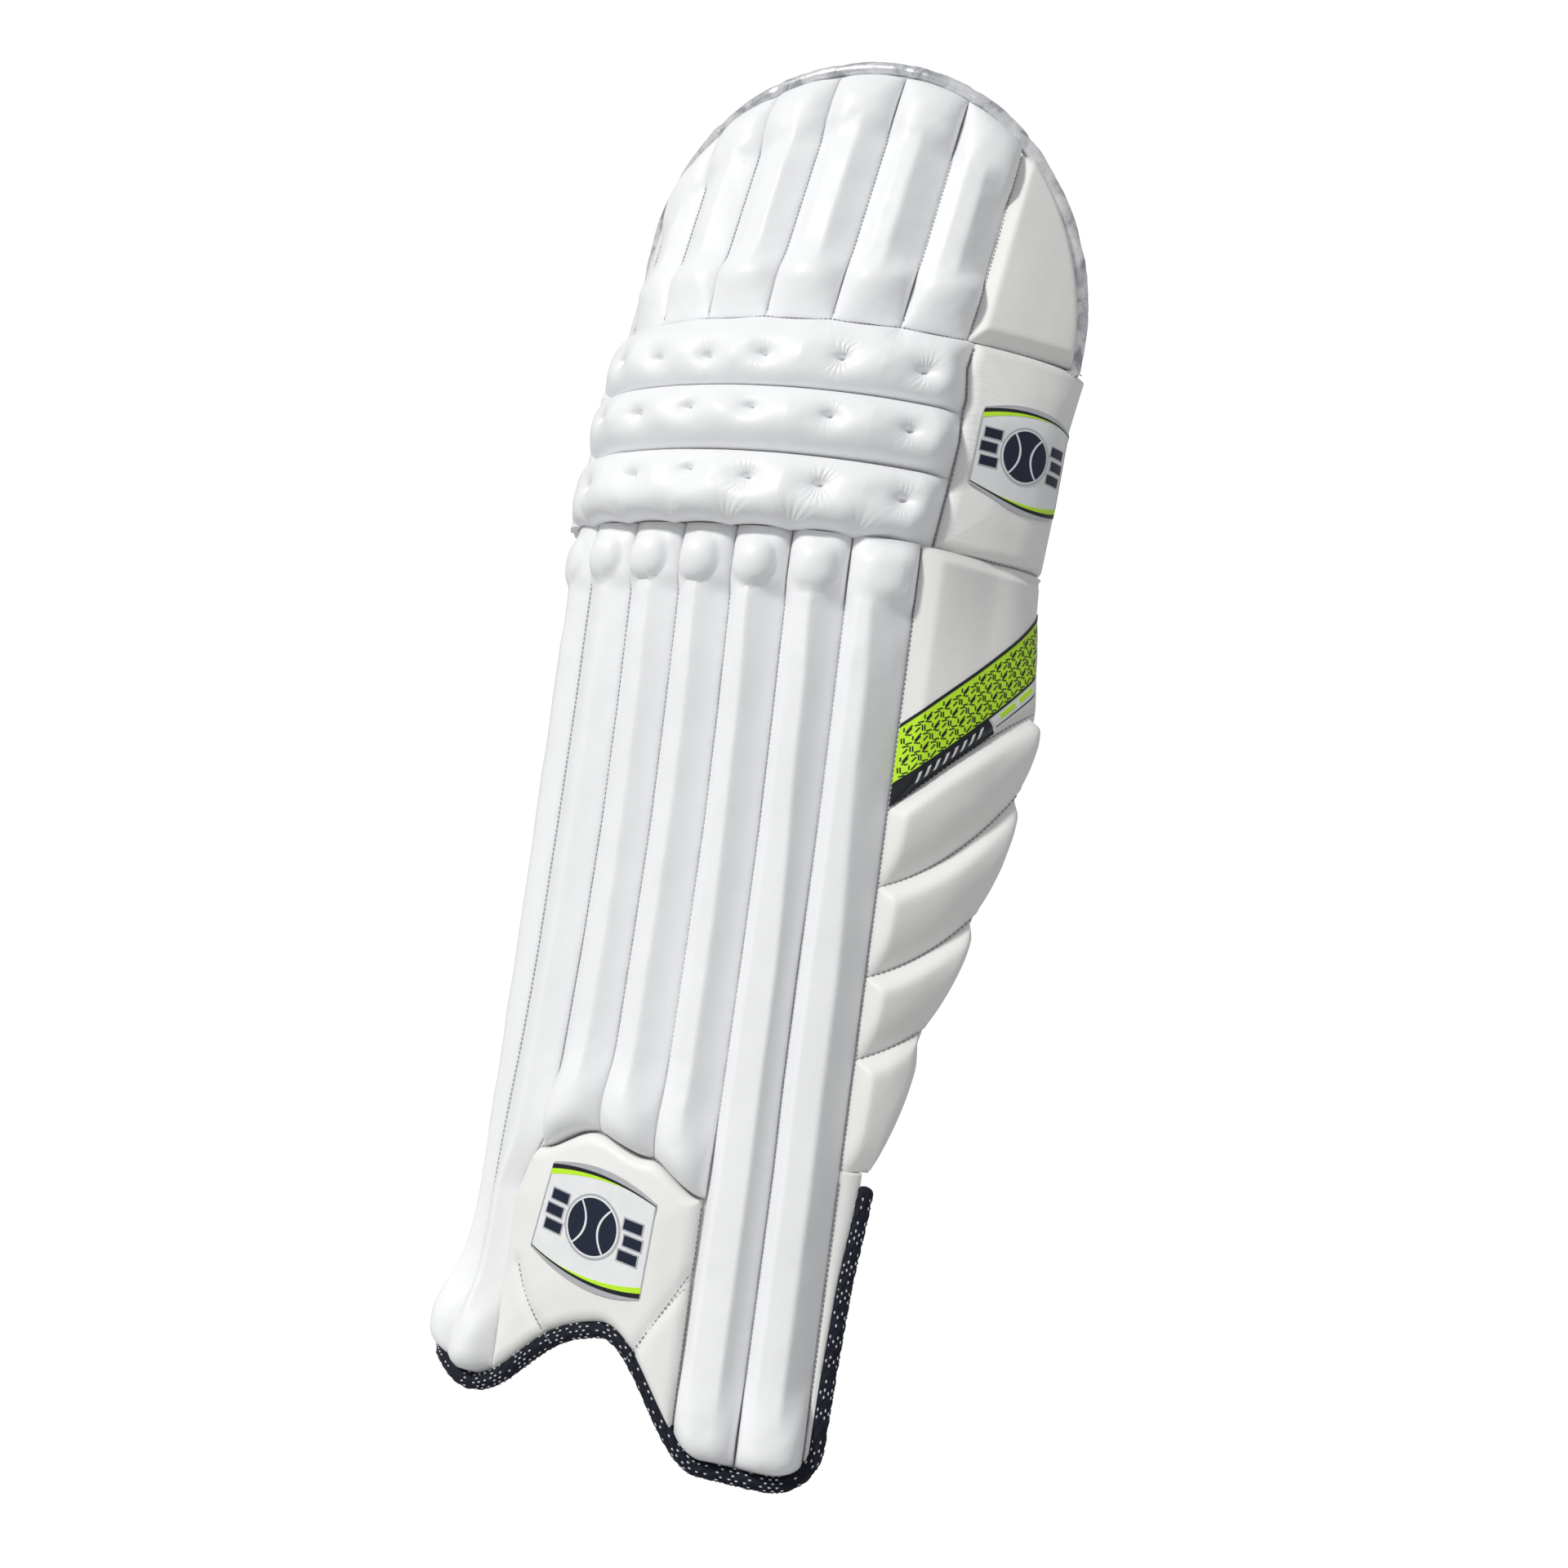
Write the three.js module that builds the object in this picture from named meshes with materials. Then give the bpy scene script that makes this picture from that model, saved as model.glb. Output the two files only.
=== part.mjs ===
// A cricket leg pad for a batter's left leg: padded shin, knee rolls, top hat, side wings and straps.
// Millimetres. +Z runs up the leg, the front faces -Y, and +X is the outer side of the leg.
// The origin is on the leg's axis, level with the lowest edge.
// A point on the pad is told by s, the distance round from the front centre line (outer side positive),
// by its height, and by n, the distance out from the stitched skin. Cushions stand out to positive n,
// and the boards, the lining and the inner cushions lie at negative n.
import * as THREE from "three";

// Heights of the seams that cross the pad
const SHIN_TOP = 464;
const ROLL_SEAMS = [464, 502, 537, 578];
const ROLL_SEAM_Y = [-88, -80, -76, -58];
const HAT_BASE = 578;
const HAT_HEIGHT = 156;
const HAT_LEAN = 15 * THREE.MathUtils.DEG2RAD;
const SHIN_FRONT_Y = -80;

// Each side's plan outline, from the front centre line backwards: arcs as [length, radius]
const SHIN_OUTER = [[106, 200], [8, 60], [90, 150]];
const SHIN_INNER = [[74, 200], [12, 31], [22.5, 120], [60, 70]];
const KNEE_OUTER = [[118.5, 141], [45, 300], [50, 45]];
const KNEE_INNER = [[109, 141], [12, 35], [60, 80]];

// Shin cushions
const SHIN_RIBS = 7;
const RIB_PITCH = 31;
const RIB_HEIGHT = 15;
const SHIN_HALF = SHIN_RIBS * RIB_PITCH / 2;
const CANE_WIDTH = 4.4;
const CANE_DEPTH = 4;

// Instep: the arch over the boot, and the panel above it
const ARCH = [[-158, 70], [-109, 25], [-75, 18], [2, 66], [62, 4], [95, 2]];
const CORNER_RADIUS = 24;
const PANEL_TOP = [[-60, 118], [-47, 144], [-15, 156], [16, 148], [46, 133]];
const PANEL_SIDES = [-59.5, 45.5];

// Calf wing, from its front seam at WING_SEAM backwards
const WING_SEAM = 110;
const WING_FOOT = 155;
const WING_SEAMS = [155, 210, 250, 294, 332];
const WING_EDGE = [124, 143, 164, 182, 188];

// Knee and top hat
const ROLL_SIDES = [-109, 118.5];
const ROLL_DEPTH = 20;
const PANEL_BACK = 196;
const HAT_RIBS = 6;
const HAT_RIB_PITCH = 35.6;
const HAT_RIB_START = -103;
const HAT_RIB_DRIFT = 0.035;
const HAT_RIB_HEIGHT = 15;
const HAT_CENTRE = 33;
const HAT_OUTER_REACH = 152;
const HAT_INNER_REACH = 170;

// Thicknesses and clearances
const BOARD = 6;
const LINING = 1.2;
const CUSHION = 16;
const PANEL = 6;
const PATCH = 0.8;
const GAP = 0.4;
const ROPE = 7;
const BINDING = 7;

// Straps: height of the lower edge and width
const STRAP_WIDTH = 38;
const KNEE_STRAP_Z = 500;
const CALF_STRAP_Z = 312;
const ANKLE_STRAP_Z = 92;
const STRAP_THICK = 2.5;
const STRAP_CLEAR = 10;
const TAB_REACH = 38;
const INNER_EDGE = -157;

const finish = (color, roughness, metalness = 0) =>
  () => new THREE.MeshStandardMaterial({ color, roughness, metalness });
const whiteLeather = finish(0xf4f5f6, 0.5);
const ivoryLeather = finish(0xf4f1ea, 0.55);
const foamBoard = finish(0xd8d6cf, 0.9);
const caneWood = finish(0xc9a66b, 0.7);
const liningCloth = finish(0xe9e9e6, 0.95);
const webbing = finish(0xededea, 0.85);
const hookAndLoop = finish(0xdcdcda, 1);
const silver = finish(0xa9adb2, 0.35, 0.6);
const rope = finish(0x14161f, 0.85);
const print = finish(0xc9f23a, 0.45);

const { lerp, smoothstep, clamp } = THREE.MathUtils;
const range = (count) => Array.from({ length: count + 1 }, (_, i) => i / count);

// Height of an edge drawn through stations [s, height] with soft turns
function eased(stations, s) {
  if (s <= stations[0][0]) return stations[0][1];
  for (let i = 1; i < stations.length; i++) {
    const [s0, h0] = stations[i - 1];
    const [s1, h1] = stations[i];
    if (s <= s1) return lerp(h0, h1, smoothstep(s, s0, s1));
  }
  return stations.at(-1)[1];
}

// Straight lines between stations
function linear(xs, ys, x) {
  let i = 1;
  while (i < xs.length - 1 && x > xs[i]) i++;
  return lerp(ys[i - 1], ys[i], clamp((x - xs[i - 1]) / (xs[i] - xs[i - 1]), 0, 1));
}

// Plan position at distance s, moved out by n: [x, y], with the front centre line at y = 0
function planPoint(outer, inner, s, n) {
  const side = s < 0 ? -1 : 1;
  let left = Math.abs(s);
  let x = 0;
  let y = 0;
  let heading = 0;
  for (const [length, radius] of side < 0 ? inner : outer) {
    const turn = Math.min(left, length) / radius;
    x += radius * (Math.sin(heading + turn) - Math.sin(heading));
    y += radius * (Math.cos(heading) - Math.cos(heading + turn));
    heading += turn;
    left -= Math.min(left, length);
  }
  x += left * Math.cos(heading) + n * Math.sin(heading);
  y += left * Math.sin(heading) - n * Math.cos(heading);
  return [side * x, y];
}

function shinPoint(s, z, n) {
  const [x, y] = planPoint(SHIN_OUTER, SHIN_INNER, s, n);
  return new THREE.Vector3(x, y + SHIN_FRONT_Y, z);
}

function kneePoint(s, z, n) {
  const [x, y] = planPoint(KNEE_OUTER, KNEE_INNER, s, n);
  return new THREE.Vector3(x, y + linear(ROLL_SEAMS, ROLL_SEAM_Y, z), z);
}

function hatPoint(s, w, n) {
  const foot = kneePoint(s, HAT_BASE, n);
  foot.y += w * Math.sin(HAT_LEAN);
  foot.z += w * Math.cos(HAT_LEAN);
  return foot;
}

// The calf wing follows the shin at its front seam and meets the knee panel at its top back corner
function wingPoint(s, z, n) {
  const share = smoothstep(z, 380, SHIN_TOP) * smoothstep(s, WING_SEAM, 150);
  const knee = kneePoint(s + PANEL_BACK - WING_EDGE[4], SHIN_TOP, n);
  knee.z = z;
  return shinPoint(s, z, n).lerp(knee, share);
}

// A closed solid between a front and a back sheet over a grid of u and v values
function slab(us, vs, front, back) {
  const columns = us.length;
  const rows = vs.length;
  const sheet = columns * rows;
  const points = [];
  for (const at of [front, back]) {
    for (const v of vs) {
      for (const u of us) points.push(...at(u, v).toArray());
    }
  }
  const faces = [];
  const quad = (a, b, c, d) => faces.push(a, b, c, a, c, d);
  const id = (i, j) => j * columns + i;
  for (let j = 0; j < rows - 1; j++) {
    for (let i = 0; i < columns - 1; i++) {
      quad(id(i, j), id(i + 1, j), id(i + 1, j + 1), id(i, j + 1));
      quad(sheet + id(i, j), sheet + id(i, j + 1), sheet + id(i + 1, j + 1), sheet + id(i + 1, j));
    }
  }
  const rim = [];
  for (let i = 0; i < columns - 1; i++) rim.push(id(i, 0));
  for (let j = 0; j < rows - 1; j++) rim.push(id(columns - 1, j));
  for (let i = columns - 1; i > 0; i--) rim.push(id(i, rows - 1));
  for (let j = rows - 1; j > 0; j--) rim.push(id(0, j));
  rim.forEach((a, i) => {
    const b = rim[(i + 1) % rim.length];
    quad(b, a, sheet + a, sheet + b);
  });
  return facingOut(points, faces);
}

// Turns the faces round where they would enclose a negative volume
function facingOut(points, faces) {
  const at = (i) => new THREE.Vector3().fromArray(points, 3 * i);
  let volume = 0;
  for (let i = 0; i < faces.length; i += 3) {
    volume += at(faces[i]).dot(at(faces[i + 1]).cross(at(faces[i + 2])));
  }
  if (volume < 0) faces.reverse();
  const geometry = new THREE.BufferGeometry();
  geometry.setAttribute("position", new THREE.Float32BufferAttribute(points, 3));
  geometry.setIndex(faces);
  geometry.computeVertexNormals();
  return geometry;
}

// A panel of even thickness, bevelled down to its edges on the outer face
function panel(us, vs, place, low, high, bevel = 0) {
  const edge = (t) => t === 0 || t === 1;
  const outer = (u, v) => (edge(u) || edge(v) ? high - bevel : high);
  return slab(us, vs, (u, v) => place(u, v, outer(u, v)), (u, v) => place(u, v, low));
}

// A round cord along a path of points
function cordAlong(points, diameter, steps) {
  const corner = (t) => new THREE.Vector2(Math.cos(2 * Math.PI * t), Math.sin(2 * Math.PI * t));
  const corners = range(8).slice(0, 8).map((t) => corner(t).multiplyScalar(diameter / 2));
  const section = new THREE.Shape(corners);
  const extrudePath = new THREE.CatmullRomCurve3(points, false, "centripetal");
  return new THREE.ExtrudeGeometry(section, { extrudePath, steps, bevelEnabled: false, curveSegments: 1 });
}

const group = new THREE.Group();
function add(name, geometry, material) {
  const mesh = new THREE.Mesh(geometry, material());
  mesh.name = name;
  group.add(mesh);
}

// --- Shin ---

// Lower edge of the pad, with its rounded outer corner
function lowerEdge(s) {
  const past = s - ARCH.at(-1)[0];
  if (past <= 0) return eased(ARCH, s);
  const drop = Math.sqrt(CORNER_RADIUS ** 2 - Math.min(past, CORNER_RADIUS) ** 2);
  return ARCH.at(-1)[1] + CORNER_RADIUS - drop;
}

// Seam between shin cushions, which swings out round the instep panel on the inner side
function ribSeam(k, z) {
  const swing = [0, 8, 13][k] ?? 0;
  return (k - SHIN_RIBS / 2) * RIB_PITCH - swing * (1 - smoothstep(z, 120, 150));
}

const EDGE_LIFT = ROPE + 2;
const isShort = (rib) => rib >= 3 && rib <= 5;

function ribFoot(rib, s) {
  return isShort(rib) ? eased(PANEL_TOP, s) + GAP : lowerEdge(s) + EDGE_LIFT;
}

// Across a cushion: [share of its width, share of its height], with the slot for the cane in the middle
const RIB_PROFILE = [
  [0, 0.08], [0.26, 0.9], [0.36, 1], [0.38, 1],
  [0.62, 1], [0.64, 1], [0.74, 0.9], [1, 0.08],
];
const SWING_ROWS = [120, 135, 150];
const CANE_TOP = 408;

function shinRib(rib) {
  const columns = RIB_PROFILE.map(([u]) => u);
  const middle = ribSeam(rib - 0.5, 0);
  const foot = ribFoot(rib, middle);
  const body = [foot + 21, ...(isShort(rib) ? [] : SWING_ROWS), CANE_TOP + 7];
  const ends = [[foot, 0.3], [foot + 7, 0.8], [foot + 20, 1]];
  const dome = [[CANE_TOP + 8, 1], [440, 1.12], [452, 1.05], [SHIN_TOP - 2, 0.5]];
  const stations = [...ends, ...body.map((z) => [z, 1]), ...dome];
  const rows = stations.map(([z]) => (z - foot) / (SHIN_TOP - 2 - foot));
  const place = (u, v, n) => {
    const level = lerp(foot, SHIN_TOP - 2, v);
    const s = lerp(ribSeam(rib - 1, level) + GAP, ribSeam(rib, level) - GAP, u);
    return shinPoint(s, lerp(ribFoot(rib, s), SHIN_TOP - 2, v), n);
  };
  const front = (u, v) => {
    const across = RIB_PROFILE[columns.indexOf(u)][1];
    return place(u, v, GAP + 1 + RIB_HEIGHT * across * stations[rows.indexOf(v)][1]);
  };
  const isBody = (v) => v > rows[2] && v < rows.at(-4);
  const slot = (u, v) => Math.abs(u - 0.5) < 0.13 && isBody(v);
  const back = (u, v) => place(u, v, slot(u, v) ? GAP + CANE_DEPTH + 1.2 : GAP);
  return slab(columns, rows, front, back);
}

function shinCane(rib) {
  const foot = ribFoot(rib, ribSeam(rib - 0.5, 0)) + 32;
  const heights = [foot, ...(isShort(rib) ? [] : SWING_ROWS), CANE_TOP];
  const rows = heights.map((z) => (z - foot) / (CANE_TOP - foot));
  const place = (u, v, n) => {
    const z = lerp(foot, CANE_TOP, v);
    const middle = (ribSeam(rib - 1, z) + ribSeam(rib, z)) / 2;
    return shinPoint(middle + (u - 0.5) * CANE_WIDTH, z, n);
  };
  return panel([0, 0.25, 0.75, 1], rows, place, GAP, GAP + CANE_DEPTH, 0.8);
}

for (let rib = 1; rib <= SHIN_RIBS; rib++) {
  add(`shin_bolster_${rib}`, shinRib(rib), whiteLeather);
  add(`shin_cane_${rib}`, shinCane(rib), caneWood);
}

// A panel of the shin's surface from the lower edge up, between two distances round
function shinPanel(from, to, columns, top, low, high, lift, bevel = 0) {
  const place = (u, v, n) => {
    const s = lerp(from, to, u);
    return shinPoint(s, lerp(lowerEdge(s) + lift, top(s), v), n);
  };
  return panel(range(columns), [0, 0.1, 0.9, 1], place, low, high, bevel);
}

const boardTop = () => SHIN_TOP - 1;
const shinBoard = shinPanel(
  -SHIN_HALF + GAP, SHIN_HALF - GAP, 28, boardTop, -BOARD, -GAP, EDGE_LIFT);
add("shin_backing", shinBoard, foamBoard);

const LINING_HALF = 100;
const LINING_TOP = 455;
const LINING_LIFT = 12;
const shinLining = shinPanel(
  -LINING_HALF, LINING_HALF, 16, () => LINING_TOP, -BOARD - GAP - LINING, -BOARD - GAP, LINING_LIFT);
add("shin_lining", shinLining, liningCloth);

const innerWing = shinPanel(
  INNER_EDGE, -SHIN_HALF - GAP - 1, 8, boardTop, -BOARD, PANEL, EDGE_LIFT, 4);
add("inner_wing", innerWing, ivoryLeather);

const GUSSET_EDGE = 111;
const gussetTop = () => WING_FOOT - 3;
const gusset = shinPanel(
  SHIN_HALF + GAP, GUSSET_EDGE, 2, gussetTop, -BOARD, PANEL - 1, EDGE_LIFT + 2, 3);
add("outer_gusset", gusset, ivoryLeather);

const INSTEP_DEPTH = 7;
const panelTop = (s) => eased(PANEL_TOP, s) - GAP;
const instepPanel = shinPanel(
  ...PANEL_SIDES, 14, panelTop, GAP, GAP + INSTEP_DEPTH, EDGE_LIFT, 5);
add("instep_panel", instepPanel, ivoryLeather);

// Badge on the instep, canted with the panel
const BADGE = [62, 46];
const INSTEP_BADGE_AT = [-4, 108];
const BADGE_CANT = -0.12;
const instepBadge = (u, v, n) => {
  const across = (u - 0.5) * BADGE[0];
  const up = (v - 0.5) * BADGE[1];
  return shinPoint(INSTEP_BADGE_AT[0] + across, INSTEP_BADGE_AT[1] + up + across * BADGE_CANT, n);
};
const onPanel = GAP + INSTEP_DEPTH + GAP;
add("instep_badge", panel(range(6), range(2), instepBadge, onPanel, onPanel + PATCH), print);

// The rope runs along the lower edge, round the outer corner and up the outer side
const ropeRoute = [];
const [cornerStart, cornerLevel] = ARCH.at(-1);
const cornerReach = CORNER_RADIUS - ROPE / 2;
for (let s = INNER_EDGE + 1; s < cornerStart; s += 9) ropeRoute.push([s, lowerEdge(s) + ROPE / 2]);
for (let turn = 0; turn <= 90; turn += 30) {
  const angle = THREE.MathUtils.degToRad(turn);
  ropeRoute.push([
    cornerStart + cornerReach * Math.sin(angle),
    cornerLevel + CORNER_RADIUS - cornerReach * Math.cos(angle),
  ]);
}
for (let z = 50; z <= 146; z += 24) ropeRoute.push([cornerStart + cornerReach, z]);
add("edge_rope", cordAlong(ropeRoute.map(([s, z]) => shinPoint(s, z, 0)), ROPE - 1, 72), rope);

// --- Inside of the shin: three upright cushions, the middle one with a flat back ---

const CUSHION_FOOT = 95;
const CUSHION_TOP = 445;
const CUSHION_WIDTH = 48;
const CUSHION_FRONT = -BOARD - LINING - 2 * GAP;
const FLAT_BACK_Y = SHIN_FRONT_Y + BOARD + LINING + CUSHION + 4;

const cushionProfile = [0, 0.12, 0.35, 0.65, 0.88, 1];
const cushionRows = [0, 0.04, 0.96, 1];
function cushionDepth(t, stations) {
  if (t === 0 || t === 1) return 0.35;
  return t === stations[1] || t === stations.at(-2) ? 0.92 : 1;
}

function innerCushion(middle, isFlat) {
  const place = (u, v, n) =>
    shinPoint(middle + (u - 0.5) * CUSHION_WIDTH, lerp(CUSHION_FOOT, CUSHION_TOP, v), n);
  const back = (u, v) => {
    const edge = Math.min(cushionDepth(u, cushionProfile), cushionDepth(v, cushionRows));
    const point = place(u, v, CUSHION_FRONT - CUSHION * edge);
    if (isFlat && edge > 0.5) point.y = FLAT_BACK_Y;
    return point;
  };
  return slab(cushionProfile, cushionRows, (u, v) => place(u, v, CUSHION_FRONT), back);
}
add("inner_bolster_centre", innerCushion(0, true), liningCloth);
add("inner_bolster_outer", innerCushion(50, false), liningCloth);
add("inner_bolster_inner", innerCushion(-50, false), liningCloth);

// --- Knee ---

const kneeGrid = (from, to, low, high) =>
  (u, v, n) => kneePoint(lerp(from, to, u), lerp(low, high, v), n);
const ROLL_SPAN = [ROLL_SIDES[0] + GAP, ROLL_SIDES[1] - GAP];

// Horizontal rolls: half round from seam to seam, drawn in at both ends
const ROLL_ROWS = [0, 0.12, 0.3, 0.5, 0.7, 0.88, 1];
const ROLL_NAMES = ["knee_roll_lower", "knee_roll_middle", "knee_roll_upper"];
ROLL_NAMES.forEach((name, i) => {
  const place = kneeGrid(...ROLL_SPAN, ROLL_SEAMS[i] + GAP, ROLL_SEAMS[i + 1] - GAP);
  const columns = [0, 0.04, 0.12, ...range(8).slice(2, 7), 0.88, 0.96, 1];
  const fullness = (u) => Math.min(1, 0.35 + 6 * Math.min(u, 1 - u));
  const arch = (v) => Math.sqrt(Math.sin(Math.PI * v) + 1e-3);
  const front = (u, v) => place(u, v, GAP + 1 + ROLL_DEPTH * fullness(u) * arch(v));
  const back = (u, v) => place(u, v, GAP);
  add(name, slab(columns, ROLL_ROWS, front, back), whiteLeather);
});

const kneeSpan = [SHIN_TOP + 1, HAT_BASE - 1];
const kneeShare = (z) => (z - kneeSpan[0]) / (kneeSpan[1] - kneeSpan[0]);
const seamRows = [0, 0.03, ...ROLL_SEAMS.slice(1, 3).map(kneeShare), 0.97, 1];
const kneeBoard = kneeGrid(...ROLL_SPAN, ...kneeSpan);
add("knee_backing", panel(range(14), seamRows, kneeBoard, -BOARD, -GAP), foamBoard);

const outerKnee = kneeGrid(ROLL_SIDES[1] + GAP, PANEL_BACK, ...kneeSpan);
const outerColumns = [0, 0.06, ...range(11).slice(1, 11), 0.96, 1];
const outerPanel = panel(outerColumns, seamRows, outerKnee, -BOARD, PANEL, 4);
add("knee_panel_outer", outerPanel, ivoryLeather);

const innerKnee = kneeGrid(INNER_EDGE - 1, ROLL_SIDES[0] - GAP, ...kneeSpan);
const innerColumns = [0, 0.06, ...range(5).slice(1, 5), 0.94, 1];
const innerPanel = panel(innerColumns, seamRows, innerKnee, -BOARD, PANEL, 4);
add("knee_panel_inner", innerPanel, ivoryLeather);

const KNEE_BADGE_AT = [130, 495];
const kneeBadge = kneeGrid(
  KNEE_BADGE_AT[0], KNEE_BADGE_AT[0] + BADGE[0], KNEE_BADGE_AT[1], KNEE_BADGE_AT[1] + BADGE[1]);
const badgeSeams = ROLL_SEAMS.slice(1, 3).map((z) => (z - KNEE_BADGE_AT[1]) / BADGE[1]);
const badgeRows = [0, ...badgeSeams, 1];
const onKnee = PANEL + GAP;
add("knee_badge", panel(range(7), badgeRows, kneeBadge, onKnee, onKnee + PATCH), print);

// Knee cup: a cushion dished in the middle, bevelled all round
const CUP_HALF = 72;
const CUP_EDGE_DEPTH = 6;
const CUP_DEPTH = 18;
const CUP_DISH = 9;
const CUP_LEVEL = -BOARD - 2 * GAP;
const cupPlace = kneeGrid(-CUP_HALF, CUP_HALF, SHIN_TOP + 8, HAT_BASE - 6);
const cupFront = (u, v) => cupPlace(u, v, CUP_LEVEL);
const cupBack = (u, v) => {
  const onEdge = u === 0 || u === 1 || v === 0 || v === 1;
  const dish = CUP_DISH * Math.sin(Math.PI * u) * Math.sin(Math.PI * v);
  return cupPlace(u, v, CUP_LEVEL - (onEdge ? CUP_EDGE_DEPTH : CUP_DEPTH - dish));
};
add("knee_cup", slab(range(8), range(6), cupFront, cupBack), liningCloth);

// --- Top hat ---

// Its outline: a lop-sided dome, [reach, bluntness] on either side of its centre
const hatCurve = (side) => (side > 0 ? [HAT_OUTER_REACH, 1.85] : [HAT_INNER_REACH, 2]);
const dome = (share, power) => (1 - clamp(share, 0, 1) ** power) ** (1 / power);

function hatOutline(s) {
  const [reach, power] = hatCurve(s - HAT_CENTRE);
  return HAT_HEIGHT * dome(Math.abs(s - HAT_CENTRE) / reach, power);
}
function hatReach(w, side) {
  const [reach, power] = hatCurve(side);
  return HAT_CENTRE + side * reach * dome(w / HAT_HEIGHT, power);
}
const hatSeam = (k, w) => HAT_RIB_START + k * HAT_RIB_PITCH + HAT_RIB_DRIFT * w;

const HAT_PROFILE = [[0, 0.1], [0.24, 0.85], [0.42, 1], [0.62, 1], [0.8, 0.85], [1, 0.1]];
const HAT_ROWS = [
  [0, 0.2], [0.06, 0.75], [0.16, 1.05], [0.32, 0.95],
  [0.75, 0.95], [0.9, 1.1], [0.97, 0.85], [1, 0.3],
];
const HAT_FOOT = 6;
function hatRib(rib) {
  const top = (k) => hatOutline(hatSeam(k, 110)) - BINDING - 1;
  const place = (u, v, n) => {
    const w = lerp(HAT_FOOT, lerp(top(rib - 1), top(rib), u) + 3 * Math.sin(Math.PI * u), v);
    return hatPoint(lerp(hatSeam(rib - 1, w) + GAP, hatSeam(rib, w) - GAP, u), w, n);
  };
  const heightAt = (list, t) => list.find(([at]) => at === t)[1];
  const depth = (u, v) => HAT_RIB_HEIGHT * heightAt(HAT_PROFILE, u) * heightAt(HAT_ROWS, v);
  const front = (u, v) => place(u, v, GAP + 1 + depth(u, v));
  const back = (u, v) => place(u, v, GAP);
  const firsts = (list) => list.map(([at]) => at);
  return slab(firsts(HAT_PROFILE), firsts(HAT_ROWS), front, back);
}
for (let rib = 1; rib <= HAT_RIBS; rib++) add(`top_hat_bolster_${rib}`, hatRib(rib), whiteLeather);

const HAT_NOTCH = 15;
const hatBoard = (u, v, n) => {
  const s = lerp(hatSeam(0, 0) + GAP, hatSeam(HAT_RIBS, 0) - GAP, u);
  const foot = 3 + HAT_NOTCH * 0.6 * Math.max(0, Math.abs(s) - 60) / 60;
  return hatPoint(s, lerp(foot, hatOutline(s) - BINDING / 2 - 1, v), n);
};
add("top_hat_backing", panel(range(18), [0, 1], hatBoard, -BOARD, -GAP), foamBoard);
const hatLining = (u, v, n) => {
  const s = lerp(-88, 96, u);
  return hatPoint(s, lerp(16, hatOutline(s) - 18, v), n);
};
const HAT_PAD_DEPTH = 10;
const padColumns = [0, 0.05, ...range(10).slice(1, 10), 0.95, 1];
const hatPad = panel(
  padColumns, [0, 0.08, 0.92, 1], hatLining, -BOARD - GAP - HAT_PAD_DEPTH, -BOARD - GAP);
add("top_hat_pad", hatPad, liningCloth);

// Side wings of the top hat, cut away at the foot so that the hat can flex back
function hatWing(side, seam, top) {
  const place = (u, v, n) => {
    const w = lerp(6 + HAT_NOTCH * u, top, v);
    return hatPoint(lerp(seam(w), hatReach(w, side) - side * (BINDING / 2 + 0.5), u), w, n);
  };
  const us = [0, 0.08, 0.35, 0.65, 0.92, 1];
  return panel(us, [0, 0.06, 0.35, 0.7, 0.95, 1], place, -BOARD, PANEL, 4);
}
add("top_hat_wing_outer", hatWing(1, (w) => hatSeam(HAT_RIBS, w) + GAP, 112), ivoryLeather);
add("top_hat_wing_inner", hatWing(-1, () => hatSeam(0, 0) - GAP, 78), ivoryLeather);

const bindingRoute = [];
for (let turn = -82; turn <= 78; turn += 8) {
  const angle = THREE.MathUtils.degToRad(turn);
  const reach = turn > 0 ? HAT_OUTER_REACH : HAT_INNER_REACH;
  const s = HAT_CENTRE + reach * Math.sin(angle);
  bindingRoute.push(hatPoint(s, hatOutline(s), 0));
}
add("top_binding", cordAlong(bindingRoute, BINDING - 1, 44), silver);

// --- Calf wing: a board, a plain upper panel with a diagonal band, and four stepped cushions ---

const wingRise = (i, s) => {
  const t = s - WING_SEAM;
  if (i === 0) return 0.2 * t;
  return i === 4 ? 1.05 * t - 0.0033 * t * t : 0.38 * t + 0.006 * t * t;
};
const wingSeam = (i, s) => WING_SEAMS[i] + wingRise(i, s);

// One step of the wing between two seams, its back edge swelling a little
function wingStep(top, edges, bottom, swell) {
  return (u, v, n) => {
    const back = lerp(edges[0], edges[1], v) + swell * Math.sin(Math.PI * v);
    const s = lerp(WING_SEAM + 1, back, u);
    return wingPoint(s, lerp(bottom(s) + GAP, top(s) - GAP, v), n);
  };
}
const STEP_COLUMNS = [0, 0.14, 0.34, 0.66, 0.9, 1];
const STEP_ROWS = [0, 0.15, 0.3, 0.7, 0.85, 1];
const STEP_DEPTH = 11;
for (let i = 0; i < 4; i++) {
  const edges = WING_EDGE.slice(i, i + 2);
  const place = wingStep((s) => wingSeam(i + 1, s), edges, (s) => wingSeam(i, s), 2);
  const step = panel(STEP_COLUMNS, STEP_ROWS, place, GAP, GAP + STEP_DEPTH, 9);
  add(`wing_bolster_${4 - i}`, step, ivoryLeather);
}
const wingTop = () => SHIN_TOP - 3;
const upper = wingStep(wingTop, [WING_EDGE[4], WING_EDGE[4]], (s) => wingSeam(4, s), 1);
const upperColumns = [0, 0.08, ...range(6).slice(1, 6), 0.95, 1];
const upperRows = [0, 0.06, ...range(8).slice(1, 8), 0.94, 1];
const upperPanel = panel(upperColumns, upperRows, upper, GAP, GAP + PANEL, 4);
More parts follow.
